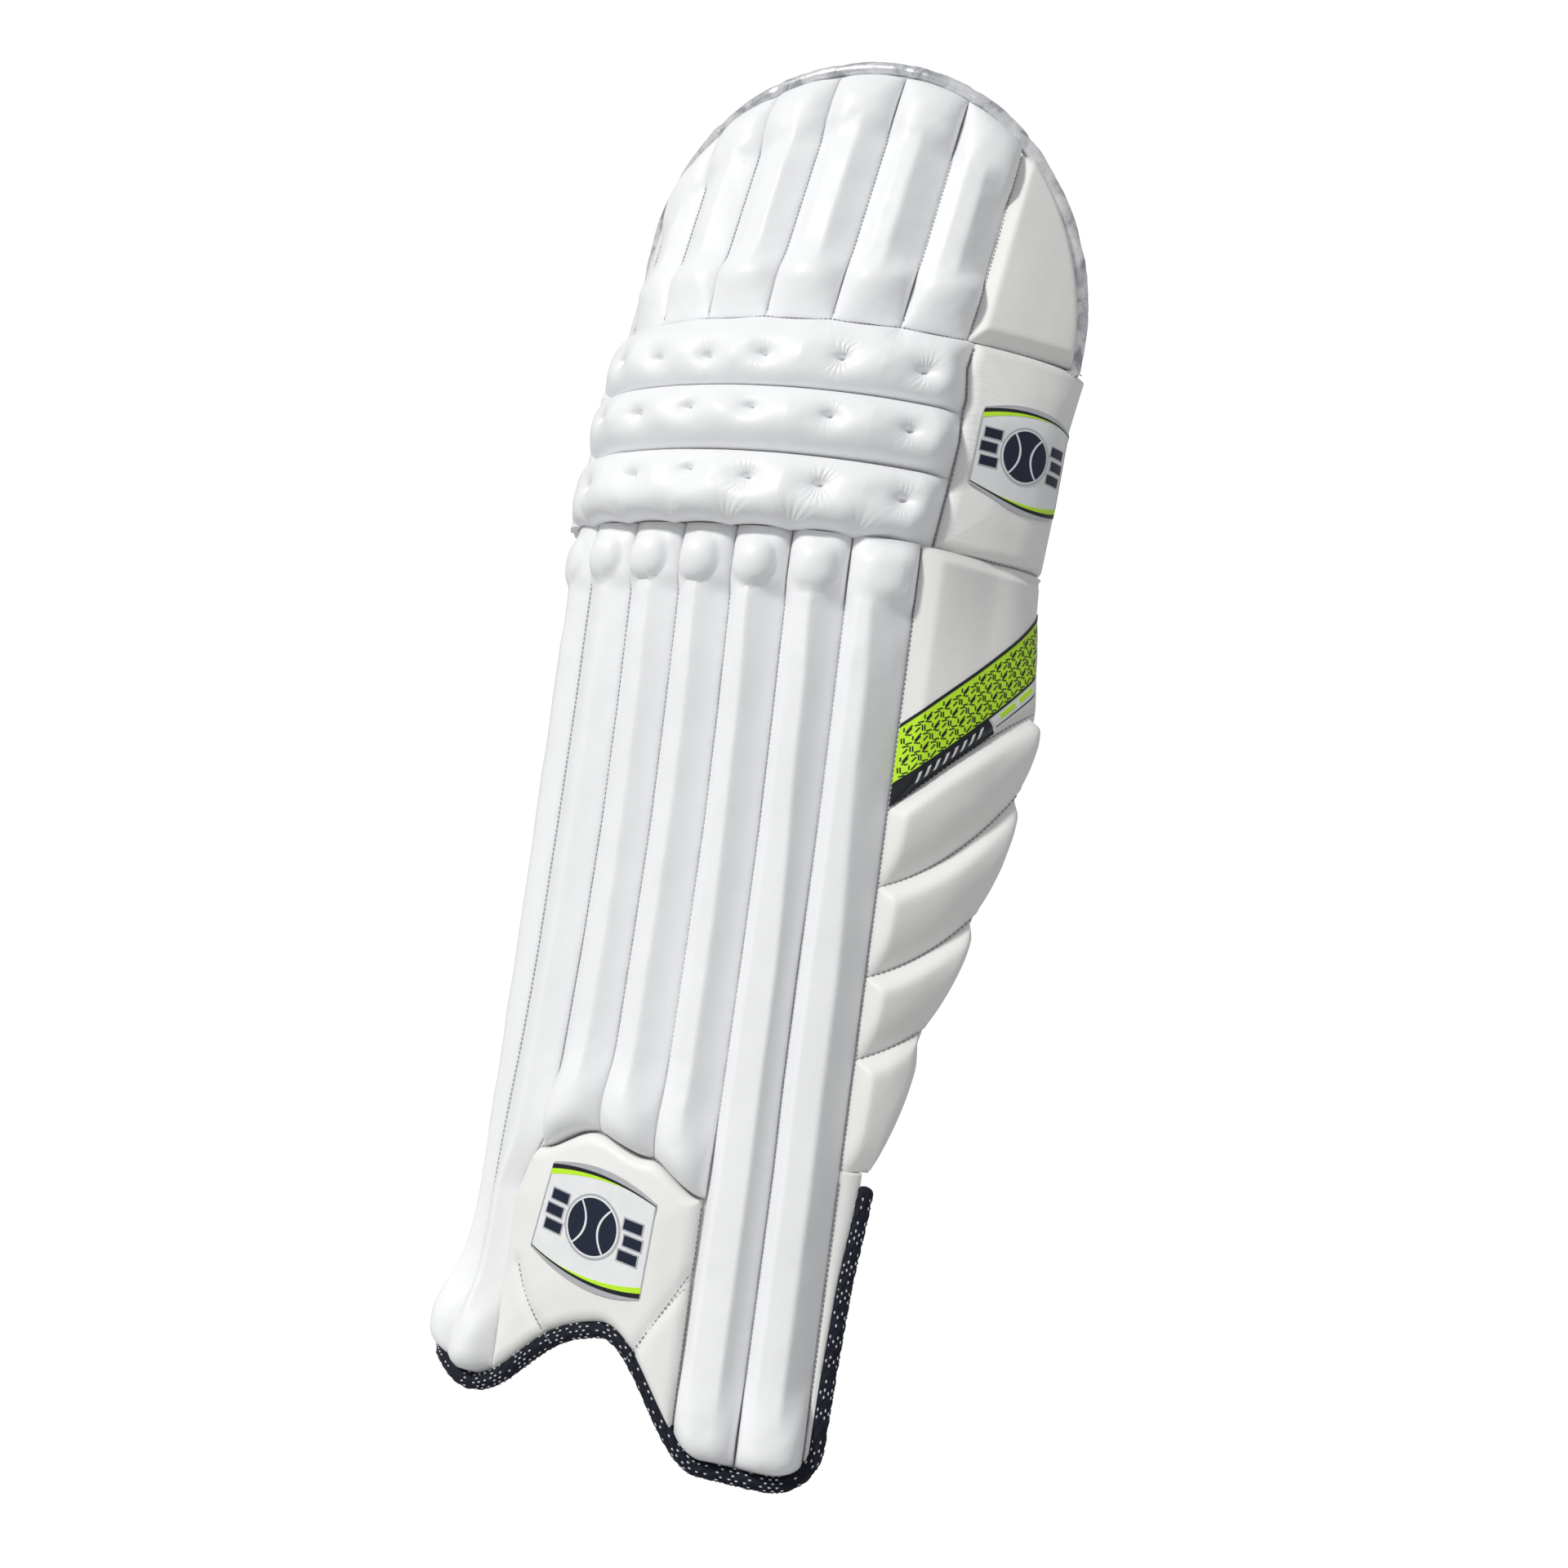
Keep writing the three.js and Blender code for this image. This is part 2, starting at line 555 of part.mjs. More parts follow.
add("wing_upper_panel", upperPanel, ivoryLeather);
const wingBoard = (u, v, n) => {
  const z = lerp(WING_FOOT + 3, SHIN_TOP - 3, v);
  const back = linear(WING_EDGE.map((s, i) => wingSeam(i, s)), WING_EDGE, z);
  return wingPoint(lerp(WING_SEAM + 1, back - 1, u), z, n);
};
add("outer_wing_backing", panel(range(9), range(14), wingBoard, -BOARD, -1), foamBoard);

const BAND_SLOPE = 0.87;
const BAND_WIDTH = 28;
const BAND_START = 374;
const band = (u, v, n) => {
  const s = lerp(WING_SEAM + 8, WING_EDGE[4] - 4, u);
  return wingPoint(s, BAND_START + BAND_SLOPE * (s - WING_SEAM) - BAND_WIDTH * (1 - v), n);
};
const bandLift = PANEL + 4 * GAP;
add("wing_band", panel(range(14), [0, 0.5, 1], band, bandLift, bandLift + PATCH), print);

// --- Straps: webbing from one edge round behind the leg, a hook tab at its end, and its patch ---

const TAB_LIFT = PANEL + GAP + PATCH + GAP;
const TAB_GAP = 8;

// The closure is at distance end round the pad, on its inner skin, and the tab runs forward from there.
function strap(name, z, start, waypoints, { place, end }) {
  const finishAt = place(end, z, -TAB_LIFT - STRAP_THICK / 2);
  const plan = [start, ...waypoints.map(([x, y]) => new THREE.Vector3(x, y, z)), finishAt];
  const route = new THREE.CatmullRomCurve3(plan, false, "centripetal");
  const webbingAt = (u, v, n) => {
    const tangent = route.getTangentAt(u);
    const out = new THREE.Vector3(tangent.y, -tangent.x, 0).normalize();
    return route.getPointAt(u).addScaledVector(out, n).setZ(z + v * STRAP_WIDTH);
  };
  const half = STRAP_THICK / 2;
  add(`${name}_strap`, panel(range(26), [0, 1], webbingAt, -half, half), webbing);
  const forward = (from) => (u, v, n) =>
    place(end - Math.sign(end) * (from + TAB_REACH * u), z + v * STRAP_WIDTH, -n);
  const tab = panel(range(5), [0, 1], forward(TAB_GAP), TAB_LIFT, TAB_LIFT + STRAP_THICK);
  add(`${name}_tab`, tab, hookAndLoop);
  const patch = panel(range(5), [0, 1], forward(TAB_GAP + 1), PANEL + GAP, PANEL + GAP + PATCH);
  add(`${name}_loop_patch`, patch, hookAndLoop);
}
const INNER_START = INNER_EDGE - 3;
strap(
  "knee", KNEE_STRAP_Z, kneePoint(INNER_START, KNEE_STRAP_Z, -STRAP_CLEAR),
  [[-98, 36], [-68, 62], [0, 72], [70, 64], [112, 50]],
  { place: kneePoint, end: PANEL_BACK - 5 },
);
strap(
  "calf", CALF_STRAP_Z, shinPoint(INNER_START, CALF_STRAP_Z, -STRAP_CLEAR),
  [[-92, 34], [-66, 53], [0, 60], [76, 50], [116, 25]],
  { place: wingPoint, end: WING_EDGE[3] - 13 },
);
strap(
  "ankle", ANKLE_STRAP_Z, shinPoint(112, ANKLE_STRAP_Z, -STRAP_CLEAR),
  [[88, -18], [68, 14], [20, 34], [-36, 34], [-88, 22]],
  { place: shinPoint, end: INNER_EDGE + 5 },
);

export default group;
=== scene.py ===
import itertools
import math

import bpy
import numpy as np
from mathutils import Matrix, Vector


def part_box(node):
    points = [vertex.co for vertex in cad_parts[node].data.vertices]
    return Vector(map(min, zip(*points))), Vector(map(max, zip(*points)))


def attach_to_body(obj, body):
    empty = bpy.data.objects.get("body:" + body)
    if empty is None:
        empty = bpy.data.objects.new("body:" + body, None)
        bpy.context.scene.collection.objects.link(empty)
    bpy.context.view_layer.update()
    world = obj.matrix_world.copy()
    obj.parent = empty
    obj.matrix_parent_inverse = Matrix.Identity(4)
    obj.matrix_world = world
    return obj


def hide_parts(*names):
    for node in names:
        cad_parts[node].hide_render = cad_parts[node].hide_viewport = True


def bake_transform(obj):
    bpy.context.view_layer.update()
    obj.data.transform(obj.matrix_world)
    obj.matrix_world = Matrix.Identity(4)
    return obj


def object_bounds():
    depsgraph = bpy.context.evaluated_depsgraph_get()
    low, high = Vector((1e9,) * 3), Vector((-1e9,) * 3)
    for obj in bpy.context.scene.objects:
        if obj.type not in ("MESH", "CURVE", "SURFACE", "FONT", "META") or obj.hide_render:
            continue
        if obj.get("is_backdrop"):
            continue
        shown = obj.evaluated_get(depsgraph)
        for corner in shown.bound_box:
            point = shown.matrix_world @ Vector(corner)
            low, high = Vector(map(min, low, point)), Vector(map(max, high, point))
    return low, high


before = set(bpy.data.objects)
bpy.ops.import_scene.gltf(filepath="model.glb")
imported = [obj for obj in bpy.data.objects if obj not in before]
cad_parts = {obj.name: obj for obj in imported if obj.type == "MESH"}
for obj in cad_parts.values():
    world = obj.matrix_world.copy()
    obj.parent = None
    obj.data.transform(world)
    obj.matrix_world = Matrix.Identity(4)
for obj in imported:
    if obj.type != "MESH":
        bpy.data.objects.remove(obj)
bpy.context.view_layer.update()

# A cricket leg pad. A point on it is told by s, the distance round from the front centre line,
# by its height z (or w, up the lean of the top hat), and by n, the distance out from the stitched
# skin. All three are in millimetres, and so are the sizes below.

MM = 0.001


def span(node, axis=2):
    low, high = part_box(node)
    return low[axis] / MM, high[axis] / MM


# ---------------------------------------------------------------- sizes

GAP = 0.4
ROLL_PARTS = ("lower", "middle", "upper")
ROLL_SEAMS = [span(f"knee_roll_{part}")[0] - GAP for part in ROLL_PARTS]
ROLL_SEAMS.append(span("knee_roll_upper")[1] + GAP)
ROLL_SEAM_Y = [-88, -80, -76, -58]
ROLL_SIDES = (-109, 118.5)
ROLL_RIGHT = [(448, -0.6), (486, 0.6), (522, 2.6), (545, 1.2), (562, -3.6)]
ROLL_HEIGHT = 18.6
SHIN_TOP = ROLL_SEAMS[0]
SHIN_FRONT_Y = -80
PANEL_BACK = 196

# The pad in plan: arcs from the front centre line backwards, as (length, radius)
SHIN_RADIUS = 200
SHIN_OUTER = [(106, SHIN_RADIUS), (8, 60), (90, 150)]
SHIN_INNER = [(74, SHIN_RADIUS), (12, 31), (22.5, 120), (60, 70)]
KNEE_OUTER = [(118.5, 141), (45, 300), (50, 45)]
KNEE_INNER = [(109, 141), (12, 35), (60, 80)]
INNER_EDGE = -157

# Shin cushions, from the inner side: heights, ridge shapes, and how far the seams wander
RIB_PITCH = 31
RIB_RISE = [4.6, 7.4, 9.6, 11.2, 12.5, 13.2, 13.2]
RIB_FOOT_RISE = [19.5, 17.5, 15.5, 16, 16, 14.5, 15]
RIB_LEFT = [0.4, 0.4, 0.34, 0.28, 0.24, 0.2, 0.17]
RIB_CRESTS = [
    (0.6, 0.6), (0.6, 0.56), (0.62, 0.66), (0.55, 0.54), (0.5, 0.55), (0.54, 0.68), (0.44, 0.57),
]
BALL_SIZES = [3.2, 5.6, 5.6, 5.6, 5.6, 4.0, 1.2]
SEAM_LEVELS = [85, 150, 190, 250, 310, 370, 440]
SEAM_DRIFT = {
    1: [0, 1, 3, 4.6, 5.6, 6, 5.2],
    2: [0, 0, 2.6, 5.4, 6.6, 6, 3.8],
    3: [2.6, 2.8, 4, 5.2, 6, 5, 3],
    4: [2.6, 2.8, 3.2, 4, 4.4, 3.4, 1],
    5: [0, 1, 1.4, 1.8, 1.8, 0.8, -1],
    6: [0, 0, -0.8, -1, -0.8, -1.2, -2.2],
}
SHIN_HALF = 108.5

# Lower edge and instep panel, as (s, height)
ARCH = [(-158, 70), (-109, 25), (-75, 18), (2, 66), (62, 4), (95, 2)]
CORNER_S, CORNER_Z = ARCH[-1]
CORNER_RADIUS = 24
PANEL_TOP = [(-60, 118), (-47, 144), (-15, 156), (16, 148), (46, 133)]
PANEL_SIDES = (-59.5, 45.5)

# Calf wing
WING_SEAM = 110
WING_FRONT = WING_SEAM - 0.4
WING_FOOT = 155
WING_SEAMS = [155, 210, 250, 294, 332]
WING_EDGE = [124, 143, 164, 182, 188]

# Top hat, whose cushions are listed from the inner side
HAT_BASE = ROLL_SEAMS[3]
HAT_HEIGHT = 156
HAT_LEAN = math.radians(15)
HAT_RIB_PITCH = 35.6
HAT_RIB_START = -103
HAT_RIB_DRIFT = 0.035
HAT_RISE = [6.5, 8, 9.5, 10.5, 11.5, 11.5]
HAT_BALL = [8.2, 9.4, 10.8, 12, 12.6, 12.6]
HAT_LEFT = [0.38, 0.36, 0.32, 0.28, 0.24, 0.2]
HAT_CRESTS = [0.62, 0.62, 0.66, 0.62, 0.5, 0.48]
HAT_CENTRE = 33
HAT_OUTER_REACH, HAT_OUTER_POWER = 145.5, 1.85
HAT_INNER_REACH, HAT_INNER_POWER = 170, 2.0

BOARD = 6
PANEL = 6
SKIN = 0.15

# ---------------------------------------------------------------- surfaces of the pad


def arrays(*values):
    return np.broadcast_arrays(*(np.asarray(v, float) for v in values))


def smooth(x, low, high):
    t = np.clip((np.asarray(x, float) - low) / (high - low), 0, 1)
    return t * t * (3 - 2 * t)


def mix(a, b, t):
    return a + (b - a) * t


def eased(stations, s):
    """Height of an edge drawn through stations with soft turns."""
    s = np.asarray(s, float)
    out = np.full(s.shape, float(stations[0][1]))
    for (s0, h0), (s1, h1) in zip(stations, stations[1:]):
        out = np.where(s > s0, mix(h0, h1, smooth(s, s0, s1)), out)
    return out


def walk(arcs, left, n):
    x, y, heading = np.zeros_like(left), np.zeros_like(left), np.zeros_like(left)
    left = left.copy()
    for length, radius in arcs:
        part = np.minimum(left, length)
        turn = part / radius
        x += radius * (np.sin(heading + turn) - np.sin(heading))
        y += radius * (np.cos(heading) - np.cos(heading + turn))
        heading += turn
        left -= part
    x += left * np.cos(heading) + n * np.sin(heading)
    y += left * np.sin(heading) - n * np.cos(heading)
    return x, y


def plan(outer, inner, s, n):
    s, n = arrays(s, n)
    xo, yo = walk(outer, np.abs(s), n)
    xi, yi = walk(inner, np.abs(s), n)
    return np.where(s < 0, -xi, xo), np.where(s < 0, yi, yo)


def shin(s, z, n):
    s, z, n = arrays(s, z, n)
    x, y = plan(SHIN_OUTER, SHIN_INNER, s, n)
    return np.stack([x, y + SHIN_FRONT_Y, z], -1)


def knee(s, z, n):
    s, z, n = arrays(s, z, n)
    x, y = plan(KNEE_OUTER, KNEE_INNER, s, n)
    return np.stack([x, y + np.interp(z, ROLL_SEAMS, ROLL_SEAM_Y), z], -1)


def hat(s, w, n):
    s, w, n = arrays(s, w, n)
    foot = knee(s, np.full(s.shape, HAT_BASE), n)
    foot[..., 1] += w * math.sin(HAT_LEAN)
    foot[..., 2] += w * math.cos(HAT_LEAN)
    return foot


def wing(s, z, n):
    """The calf wing: the shin's surface, carried over to the knee's at its top back corner."""
    s, z, n = arrays(s, z, n)
    share = (smooth(z, 380, SHIN_TOP) * smooth(s, WING_SEAM, 150))[..., None]
    above = knee(s + PANEL_BACK - WING_EDGE[4], np.full(s.shape, SHIN_TOP), n)
    above[..., 2] = z
    return mix(shin(s, z, n), above, share)


def side_thin(s):
    return 3.4 * smooth(s, 140, 192)


def knee_side(s, z, n):
    return knee(s, z, n - side_thin(s))


def lower_edge(s):
    s = np.asarray(s, float)
    past = np.clip(s - CORNER_S, 0, CORNER_RADIUS)
    arch_dip = 7 * np.exp(-(((s + 3) / 23) ** 2))
    return eased(ARCH, s) + CORNER_RADIUS - np.sqrt(CORNER_RADIUS**2 - past**2) - arch_dip


def rib_seam(k, z):
    swing = {1: 8 * (1 - smooth(z, 40, 250)), 2: 13 * (1 - smooth(z, 120, 150))}.get(k, 0)
    drift = np.interp(z, SEAM_LEVELS, SEAM_DRIFT[k]) if k in SEAM_DRIFT else 0
    return (k - 3.5) * RIB_PITCH - swing + drift + 0.7 * (k == 7)


def roll_right(z):
    """Where the rolls end at the outer side."""
    return ROLL_SIDES[1] + np.interp(z, *zip(*ROLL_RIGHT))


def roll_edge(i, s):
    """Seam heights, scalloped where the cushions above or below push on them."""
    z = ROLL_SEAMS[i] + np.zeros(np.shape(s))
    if i == 0:
        z = z + 1.6 * np.abs(np.sin(np.pi * (s / RIB_PITCH - 0.5))) - 1.4
    if i == 3:
        z = z - 1.2 * np.abs(np.sin(np.pi * (s - HAT_RIB_START) / HAT_RIB_PITCH)) + 0.4
    return z


def dome(share, power):
    return (1 - share**power) ** (1 / power)


def hat_outline(s):
    s = np.asarray(s, float)
    outer = s > HAT_CENTRE
    reach = np.abs(s - HAT_CENTRE) / np.where(outer, HAT_OUTER_REACH, HAT_INNER_REACH)
    power = np.where(outer, HAT_OUTER_POWER, HAT_INNER_POWER)
    return HAT_HEIGHT * dome(np.minimum(reach, 1), power)


def hat_reach(w, side):
    """Where the top hat's outline is at a height, on the outer (1) or inner (-1) side."""
    power = HAT_OUTER_POWER if side > 0 else HAT_INNER_POWER
    reach = HAT_OUTER_REACH if side > 0 else HAT_INNER_REACH
    share = np.clip(np.asarray(w, float) / HAT_HEIGHT, 0, 1)
    return HAT_CENTRE + side * reach * dome(share, power)


def hat_seam(k, w):
    return HAT_RIB_START + k * HAT_RIB_PITCH + HAT_RIB_DRIFT * np.asarray(w, float)


def wing_seam(i, s):
    t = np.asarray(s, float) - WING_SEAM
    if i == 0:
        return WING_SEAMS[0] + 0.2 * t
    if i == 4:
        return WING_SEAMS[4] + 1.05 * t - 0.0033 * t * t
    return WING_SEAMS[i] + 0.38 * t + 0.006 * t * t


# ---------------------------------------------------------------- noise, profiles and paths


def noise(points, size, seed=0):
    """Smooth noise from -1 to 1 over points in millimetres, the same on each run."""
    q = np.asarray(points, float) / size + 37.7 * seed
    cell = np.floor(q).astype(np.int64)
    f = q - cell
    f = f * f * (3 - 2 * f)
    total = 0
    for corner in itertools.product((0, 1), repeat=q.shape[-1]):
        c = cell + np.array(corner)
        h = (c * np.array([73856093, 19349663, 83492791])[: q.shape[-1]]).sum(-1) + seed * 2654435761
        h = (h ^ (h >> 13)) * 1274126177
        h = (h ^ (h >> 16)) & 0xFFFF
        weight = np.prod(np.where(np.array(corner) == 1, f, 1 - f), -1)
        total = total + weight * (h / 32767.5 - 1)
    return total


def soft_min(a, b, k):
    h = np.clip(0.5 + 0.5 * (b - a) / k, 0, 1)
    return mix(b, a, h) - k * h * (1 - h)


def ridge(u, left, crest, slope=0.13, crisp=0.1):
    """A profile that rises at the left, climbs gently to a crest and falls along a flat flank."""
    top = 1 - slope + slope * (u - left) / (crest - left)
    rise = soft_min((1 - slope) * u / left, top, 0.16)
    return np.clip(soft_min(rise, (1 - u) / (1 - crest), crisp), 0, 1)


def arch(u, blunt):
    return np.clip(1 - np.abs(2 * u - 1) ** blunt, 0, 1) ** 0.55


def bell(x, width, power=2):
    return np.exp(-((x / width) ** power))


def rounded(d, reach):
    """From 0 at an edge to 1 at reach from it, on a quarter circle."""
    return np.sqrt(1 - (1 - np.clip(d / reach, 0, 1)) ** 2)


def quarter(x, reach):
    """From 0 to 1 over reach, on a quarter sine."""
    return np.sin(np.pi / 2 * np.clip(x / reach, 0, 1))


def bevel(x, reach, soft):
    return soft_min(x / reach, 1.0, soft)


def grid(us, vs):
    return np.meshgrid(np.asarray(us, float), np.asarray(vs, float))


def steps(low, high, size):
    return np.linspace(low, high, max(2, int(round(abs(high - low) / size)) + 1))


def unit(rows):
    return rows / np.linalg.norm(rows, axis=-1, keepdims=True)


def travelled(path):
    """How far along a path each of its points lies."""
    return np.concatenate([[0], np.linalg.norm(np.diff(path, axis=0), axis=1).cumsum()])


def at_distances(path, far, wanted):
    return np.stack([np.interp(wanted, far, column) for column in path.T], 1)


def evened(path, size):
    """The same path with points at even distances, and those distances."""
    far = travelled(path)
    even = steps(0, far[-1], size)
    return at_distances(path, far, even), even


def eased_path(path, window):
    """A path smoothed over a window of points, its ends kept."""
    kernel = np.hanning(window) / np.hanning(window).sum()
    half = window // 2
    padded = np.pad(path, ((half, half), (0, 0)), mode="reflect", reflect_type="odd")
    return np.stack([np.convolve(column, kernel, "valid") for column in padded.T], 1)


def turns(count):
    return np.arange(count) * 2 * math.pi / count


def blunt_ends(even, reach, least):
    """From nearly 0 to 1 within reach of both ends of a path."""
    inner = np.clip(np.minimum(even, even.max() - even) / reach, 0, 1)
    return np.sqrt(np.clip(1 - (1 - inner) ** 2, least, 1))


# ---------------------------------------------------------------- mesh making


def enclosed(points, quads):
    """Six times the volume inside closed faces, negative where they point inwards."""
    a, b, c, d = (points[quads[:, i]] for i in range(4))
    return np.einsum("ij,ij->", a, np.cross(b, c) + np.cross(c, d))


def finish_mesh(name, points, faces, uv=None, edge_grime_and_shade=None, angle=50):
    """A mesh object from points in millimetres, faces turned outwards and shaded smooth."""
    if enclosed(points, np.array([f for f in faces if len(f) == 4])) < 0:
        faces = [tuple(reversed(f)) for f in faces]
    mesh = bpy.data.meshes.new(name)
    mesh.from_pydata((points * MM).tolist(), [], [tuple(int(i) for i in f) for f in faces])
    mesh.validate()
    mesh.polygons.foreach_set("use_smooth", [True] * len(mesh.polygons))
    if uv is not None:
        layer = mesh.uv_layers.new(name="UVMap")
        index = np.zeros(len(mesh.loops), np.int32)
        mesh.loops.foreach_get("vertex_index", index)
        layer.data.foreach_set("uv", np.asarray(uv, np.float32)[index].ravel())
    # Per-point amount of painted shade and grime near the edges, read by the leather material.
    if edge_grime_and_shade is not None:
        layer = mesh.attributes.new("edge_grime_and_shade", "FLOAT", "POINT")
        layer.data.foreach_set("value", np.asarray(edge_grime_and_shade, np.float32))
    mesh.set_sharp_from_angle(angle=math.radians(angle))
    mesh.update()
    obj = bpy.data.objects.new(name, mesh)
    bpy.context.scene.collection.objects.link(obj)
    return obj


def edge_distance(points):
    """How far each point of a grid is from the grid's nearest side, in millimetres."""
    across = np.linalg.norm(np.diff(points, axis=1), axis=2)
    along = np.linalg.norm(np.diff(points, axis=0), axis=2)
    left = np.concatenate([np.zeros((len(points), 1)), across.cumsum(1)], 1)
    low = np.concatenate([np.zeros((1, points.shape[1])), along.cumsum(0)], 0)
    return np.minimum(np.minimum(left, left[:, -1:] - left), np.minimum(low, low[-1:] - low))


def shell_faces(rows, cols):
    """Faces of a closed shell between two grids of points of one size."""
    count = rows * cols
    ids = np.arange(count).reshape(rows, cols)
    a, b, c, d = ids[:-1, :-1], ids[:-1, 1:], ids[1:, 1:], ids[1:, :-1]
    rim = np.concatenate([ids[0, :-1], ids[:-1, -1], ids[-1, :0:-1], ids[:0:-1, 0]])
    after = np.roll(rim, -1)
    return np.concatenate([
        np.stack([a, b, c, d], -1).reshape(-1, 4),
        np.stack([a, d, c, b], -1).reshape(-1, 4) + count,
        np.stack([after, rim, rim + count, after + count], -1),
    ])


def slab(name, front, back, uv=None, edge_grime_and_shade=0.8, reach=2.0):
    """A closed piece between two grids of points, darkened at its edges by painted shade and some
    grime.
    """
    rows, cols = front.shape[:2]
    points = np.concatenate([front.reshape(-1, 3), back.reshape(-1, 3)])
    # Painted shade with some grime: strongest at the piece's edges and seams, and full over its back.
    grime_and_shade = edge_grime_and_shade * np.exp(-edge_distance(front) / reach)
    grime_and_shade_marks = np.concatenate([grime_and_shade.ravel(), np.full(rows * cols, edge_grime_and_shade)])
    if uv is None:
        u = np.linspace(0, 1, cols) * travelled(front[rows // 2])[-1]
        v = np.linspace(0, 1, rows) * travelled(front[:, cols // 2])[-1]
        uv = np.stack(np.meshgrid(u, v), -1)
    maps = np.concatenate([uv.reshape(-1, 2)] * 2) * 0.01
    return finish_mesh(name, points, shell_faces(rows, cols).tolist(), maps, grime_and_shade_marks)


def cover(name, surface, s, z, n, low, edge_grime_and_shade=0.5, reach=1.6):
    """A piece lying on a surface of the pad, from low out to n."""
    return slab(name, surface(s, z, n), surface(s, z, low), np.stack([s, z], -1), edge_grime_and_shade, reach)


def panel(name, surface, s, z, low, high, edge, soft, swell=0.0, over=26, detail=None):
    """A piece of even height, rounded down to its edges on the outer face."""
    d = edge_distance(surface(s, z, 0))
    n = mix(high - edge, high, rounded(d, soft)) + swell * smooth(d, 0, over)
    if detail is not None:
        n = n + detail(s, z, d)
    return cover(name, surface, s, z, n, low)


def loft(name, rings, angle=50):
    """A closed skin through rings of points."""
    count, sides = rings.shape[:2]
    ids = np.arange(count * sides).reshape(count, sides)
    after = np.roll(ids, -1, 1)
    quads = np.stack([ids[:-1], after[:-1], after[1:], ids[1:]], -1).reshape(-1, 4).tolist()
    quads += [tuple(ids[0][::-1]), tuple(ids[-1])]
    return finish_mesh(name, rings.reshape(-1, 3), quads, angle=angle)


# ---------------------------------------------------------------- materials


def rgba(*colour):
    return (*colour, 1.0)


def shaded(colour, share):
    return rgba(*(c * share for c in colour))


class Nodes:
    """Small helper for building one material."""

    def __init__(self, name):
        self.material = bpy.data.materials.new(name)
        self.material.use_nodes = True
        self.tree = self.material.node_tree
        self.shader = self.tree.nodes["Principled BSDF"]

    def node(self, kind, **values):
        made = self.tree.nodes.new(kind)
        for key, value in values.items():
            if key in made.inputs:
                made.inputs[key].default_value = value
            else:
                setattr(made, key, value)
        return made

    def link(self, a, b):
        self.tree.links.new(a, b)

    def set(self, **values):
        for key, value in values.items():
            self.shader.inputs[key.replace("_", " ")].default_value = value

    def place(self):
        return self.node("ShaderNodeTexCoord").outputs["Object"]

    def texture(self, kind, where, **values):
        made = self.node(f"ShaderNodeTex{kind}", **values)
        self.link(where, made.inputs["Vector"])
        return made

    def noise(self, where, scale, detail, **values):
        return self.texture("Noise", where, Scale=scale, Detail=detail, **values).outputs["Fac"]

    def cells(self, where, scale, **values):
        return self.texture("Voronoi", where, Scale=scale, **values).outputs["Distance"]

    def ramp(self, source, stops):
        made = self.node("ShaderNodeValToRGB")
        elements = made.color_ramp.elements
        while len(elements) < len(stops):
            elements.new(0.5)
        for element, (at, colour) in zip(elements, stops):
            element.position = at
            element.color = colour
        self.link(source, made.inputs["Fac"])
        return made.outputs["Color"]

    def tone(self, source, colour, dark, spread=0.2):
        """A colour that varies with a texture, from darkened to plain."""
        stops = [(0.5 - spread, shaded(colour, dark)), (0.5 + spread, rgba(*colour))]
        return self.ramp(source, stops)

    def times(self, a, b):
        made = self.node("ShaderNodeMath", operation="MULTIPLY")
        self.link(a, made.inputs[0])
        self.link(b, made.inputs[1])
        return made.outputs[0]

    def blend(self, factor, a, b):
        """From a, a socket, to b, a colour."""
        made = self.node("ShaderNodeMix", data_type="RGBA")
        self.link(factor, made.inputs[0])
        self.link(a, made.inputs[6])
        made.inputs[7].default_value = b
        return made.outputs[2]

    def span(self, source, low, high, to_low, to_high):
        made = self.node("ShaderNodeMapRange")
        names = ("From Min", "From Max", "To Min", "To Max")
        for key, value in zip(names, (low, high, to_low, to_high)):
            made.inputs[key].default_value = value
        self.link(source, made.inputs["Value"])
        return made.outputs["Result"]

    def bump(self, height, strength, distance, before=None):
        made = self.node("ShaderNodeBump", Strength=strength, Distance=distance)
        self.link(height, made.inputs["Height"])
        if before is not None:
            self.link(before, made.inputs["Normal"])
        return made.outputs["Normal"]

    def use(self, colour, roughness=None, normal=None):
        """Links the material's sockets. A roughness that is a number is set."""
        self.link(colour, self.shader.inputs["Base Color"])
        if isinstance(roughness, float):
            self.set(Roughness=roughness)
        elif roughness is not None:
            self.link(roughness, self.shader.inputs["Roughness"])
        if normal is not None:
            self.link(normal, self.shader.inputs["Normal"])
        return self.material


def leather(name, colour, grime_and_shade, rough):
    m = Nodes(name)
    where = m.place()
    cloud = m.tone(m.noise(where, 14.0, 3.0, Roughness=0.5), colour, 0.975)
    # Where pieces meet, the colour blends towards the second colour: painted shade in the seams and at
    # the edges, with some grime.
    edge_grime_and_shade = m.node("ShaderNodeAttribute", attribute_name="edge_grime_and_shade").outputs["Fac"]
    patchy = m.span(m.noise(where, 160.0, 4.0), 0.25, 0.75, 0.25, 0.75)
    shade = m.blend(m.times(edge_grime_and_shade, patchy), cloud, rgba(*grime_and_shade))
    pores = m.noise(where, 620.0, 5.0, Roughness=0.65)
    normal = m.bump(m.cells(where, 1500.0), 0.22, 0.00012)
    normal = m.bump(pores, 0.3, 0.00018, normal)
    normal = m.bump(m.noise(where, 95.0, 4.0, Roughness=0.6), 0.22, 0.0009, normal)
    m.set(Coat_Weight=0.06, Coat_Roughness=0.3, Specular_IOR_Level=0.42)
    return m.use(shade, m.span(pores, 0.3, 0.7, rough - 0.07, rough + 0.09), normal)


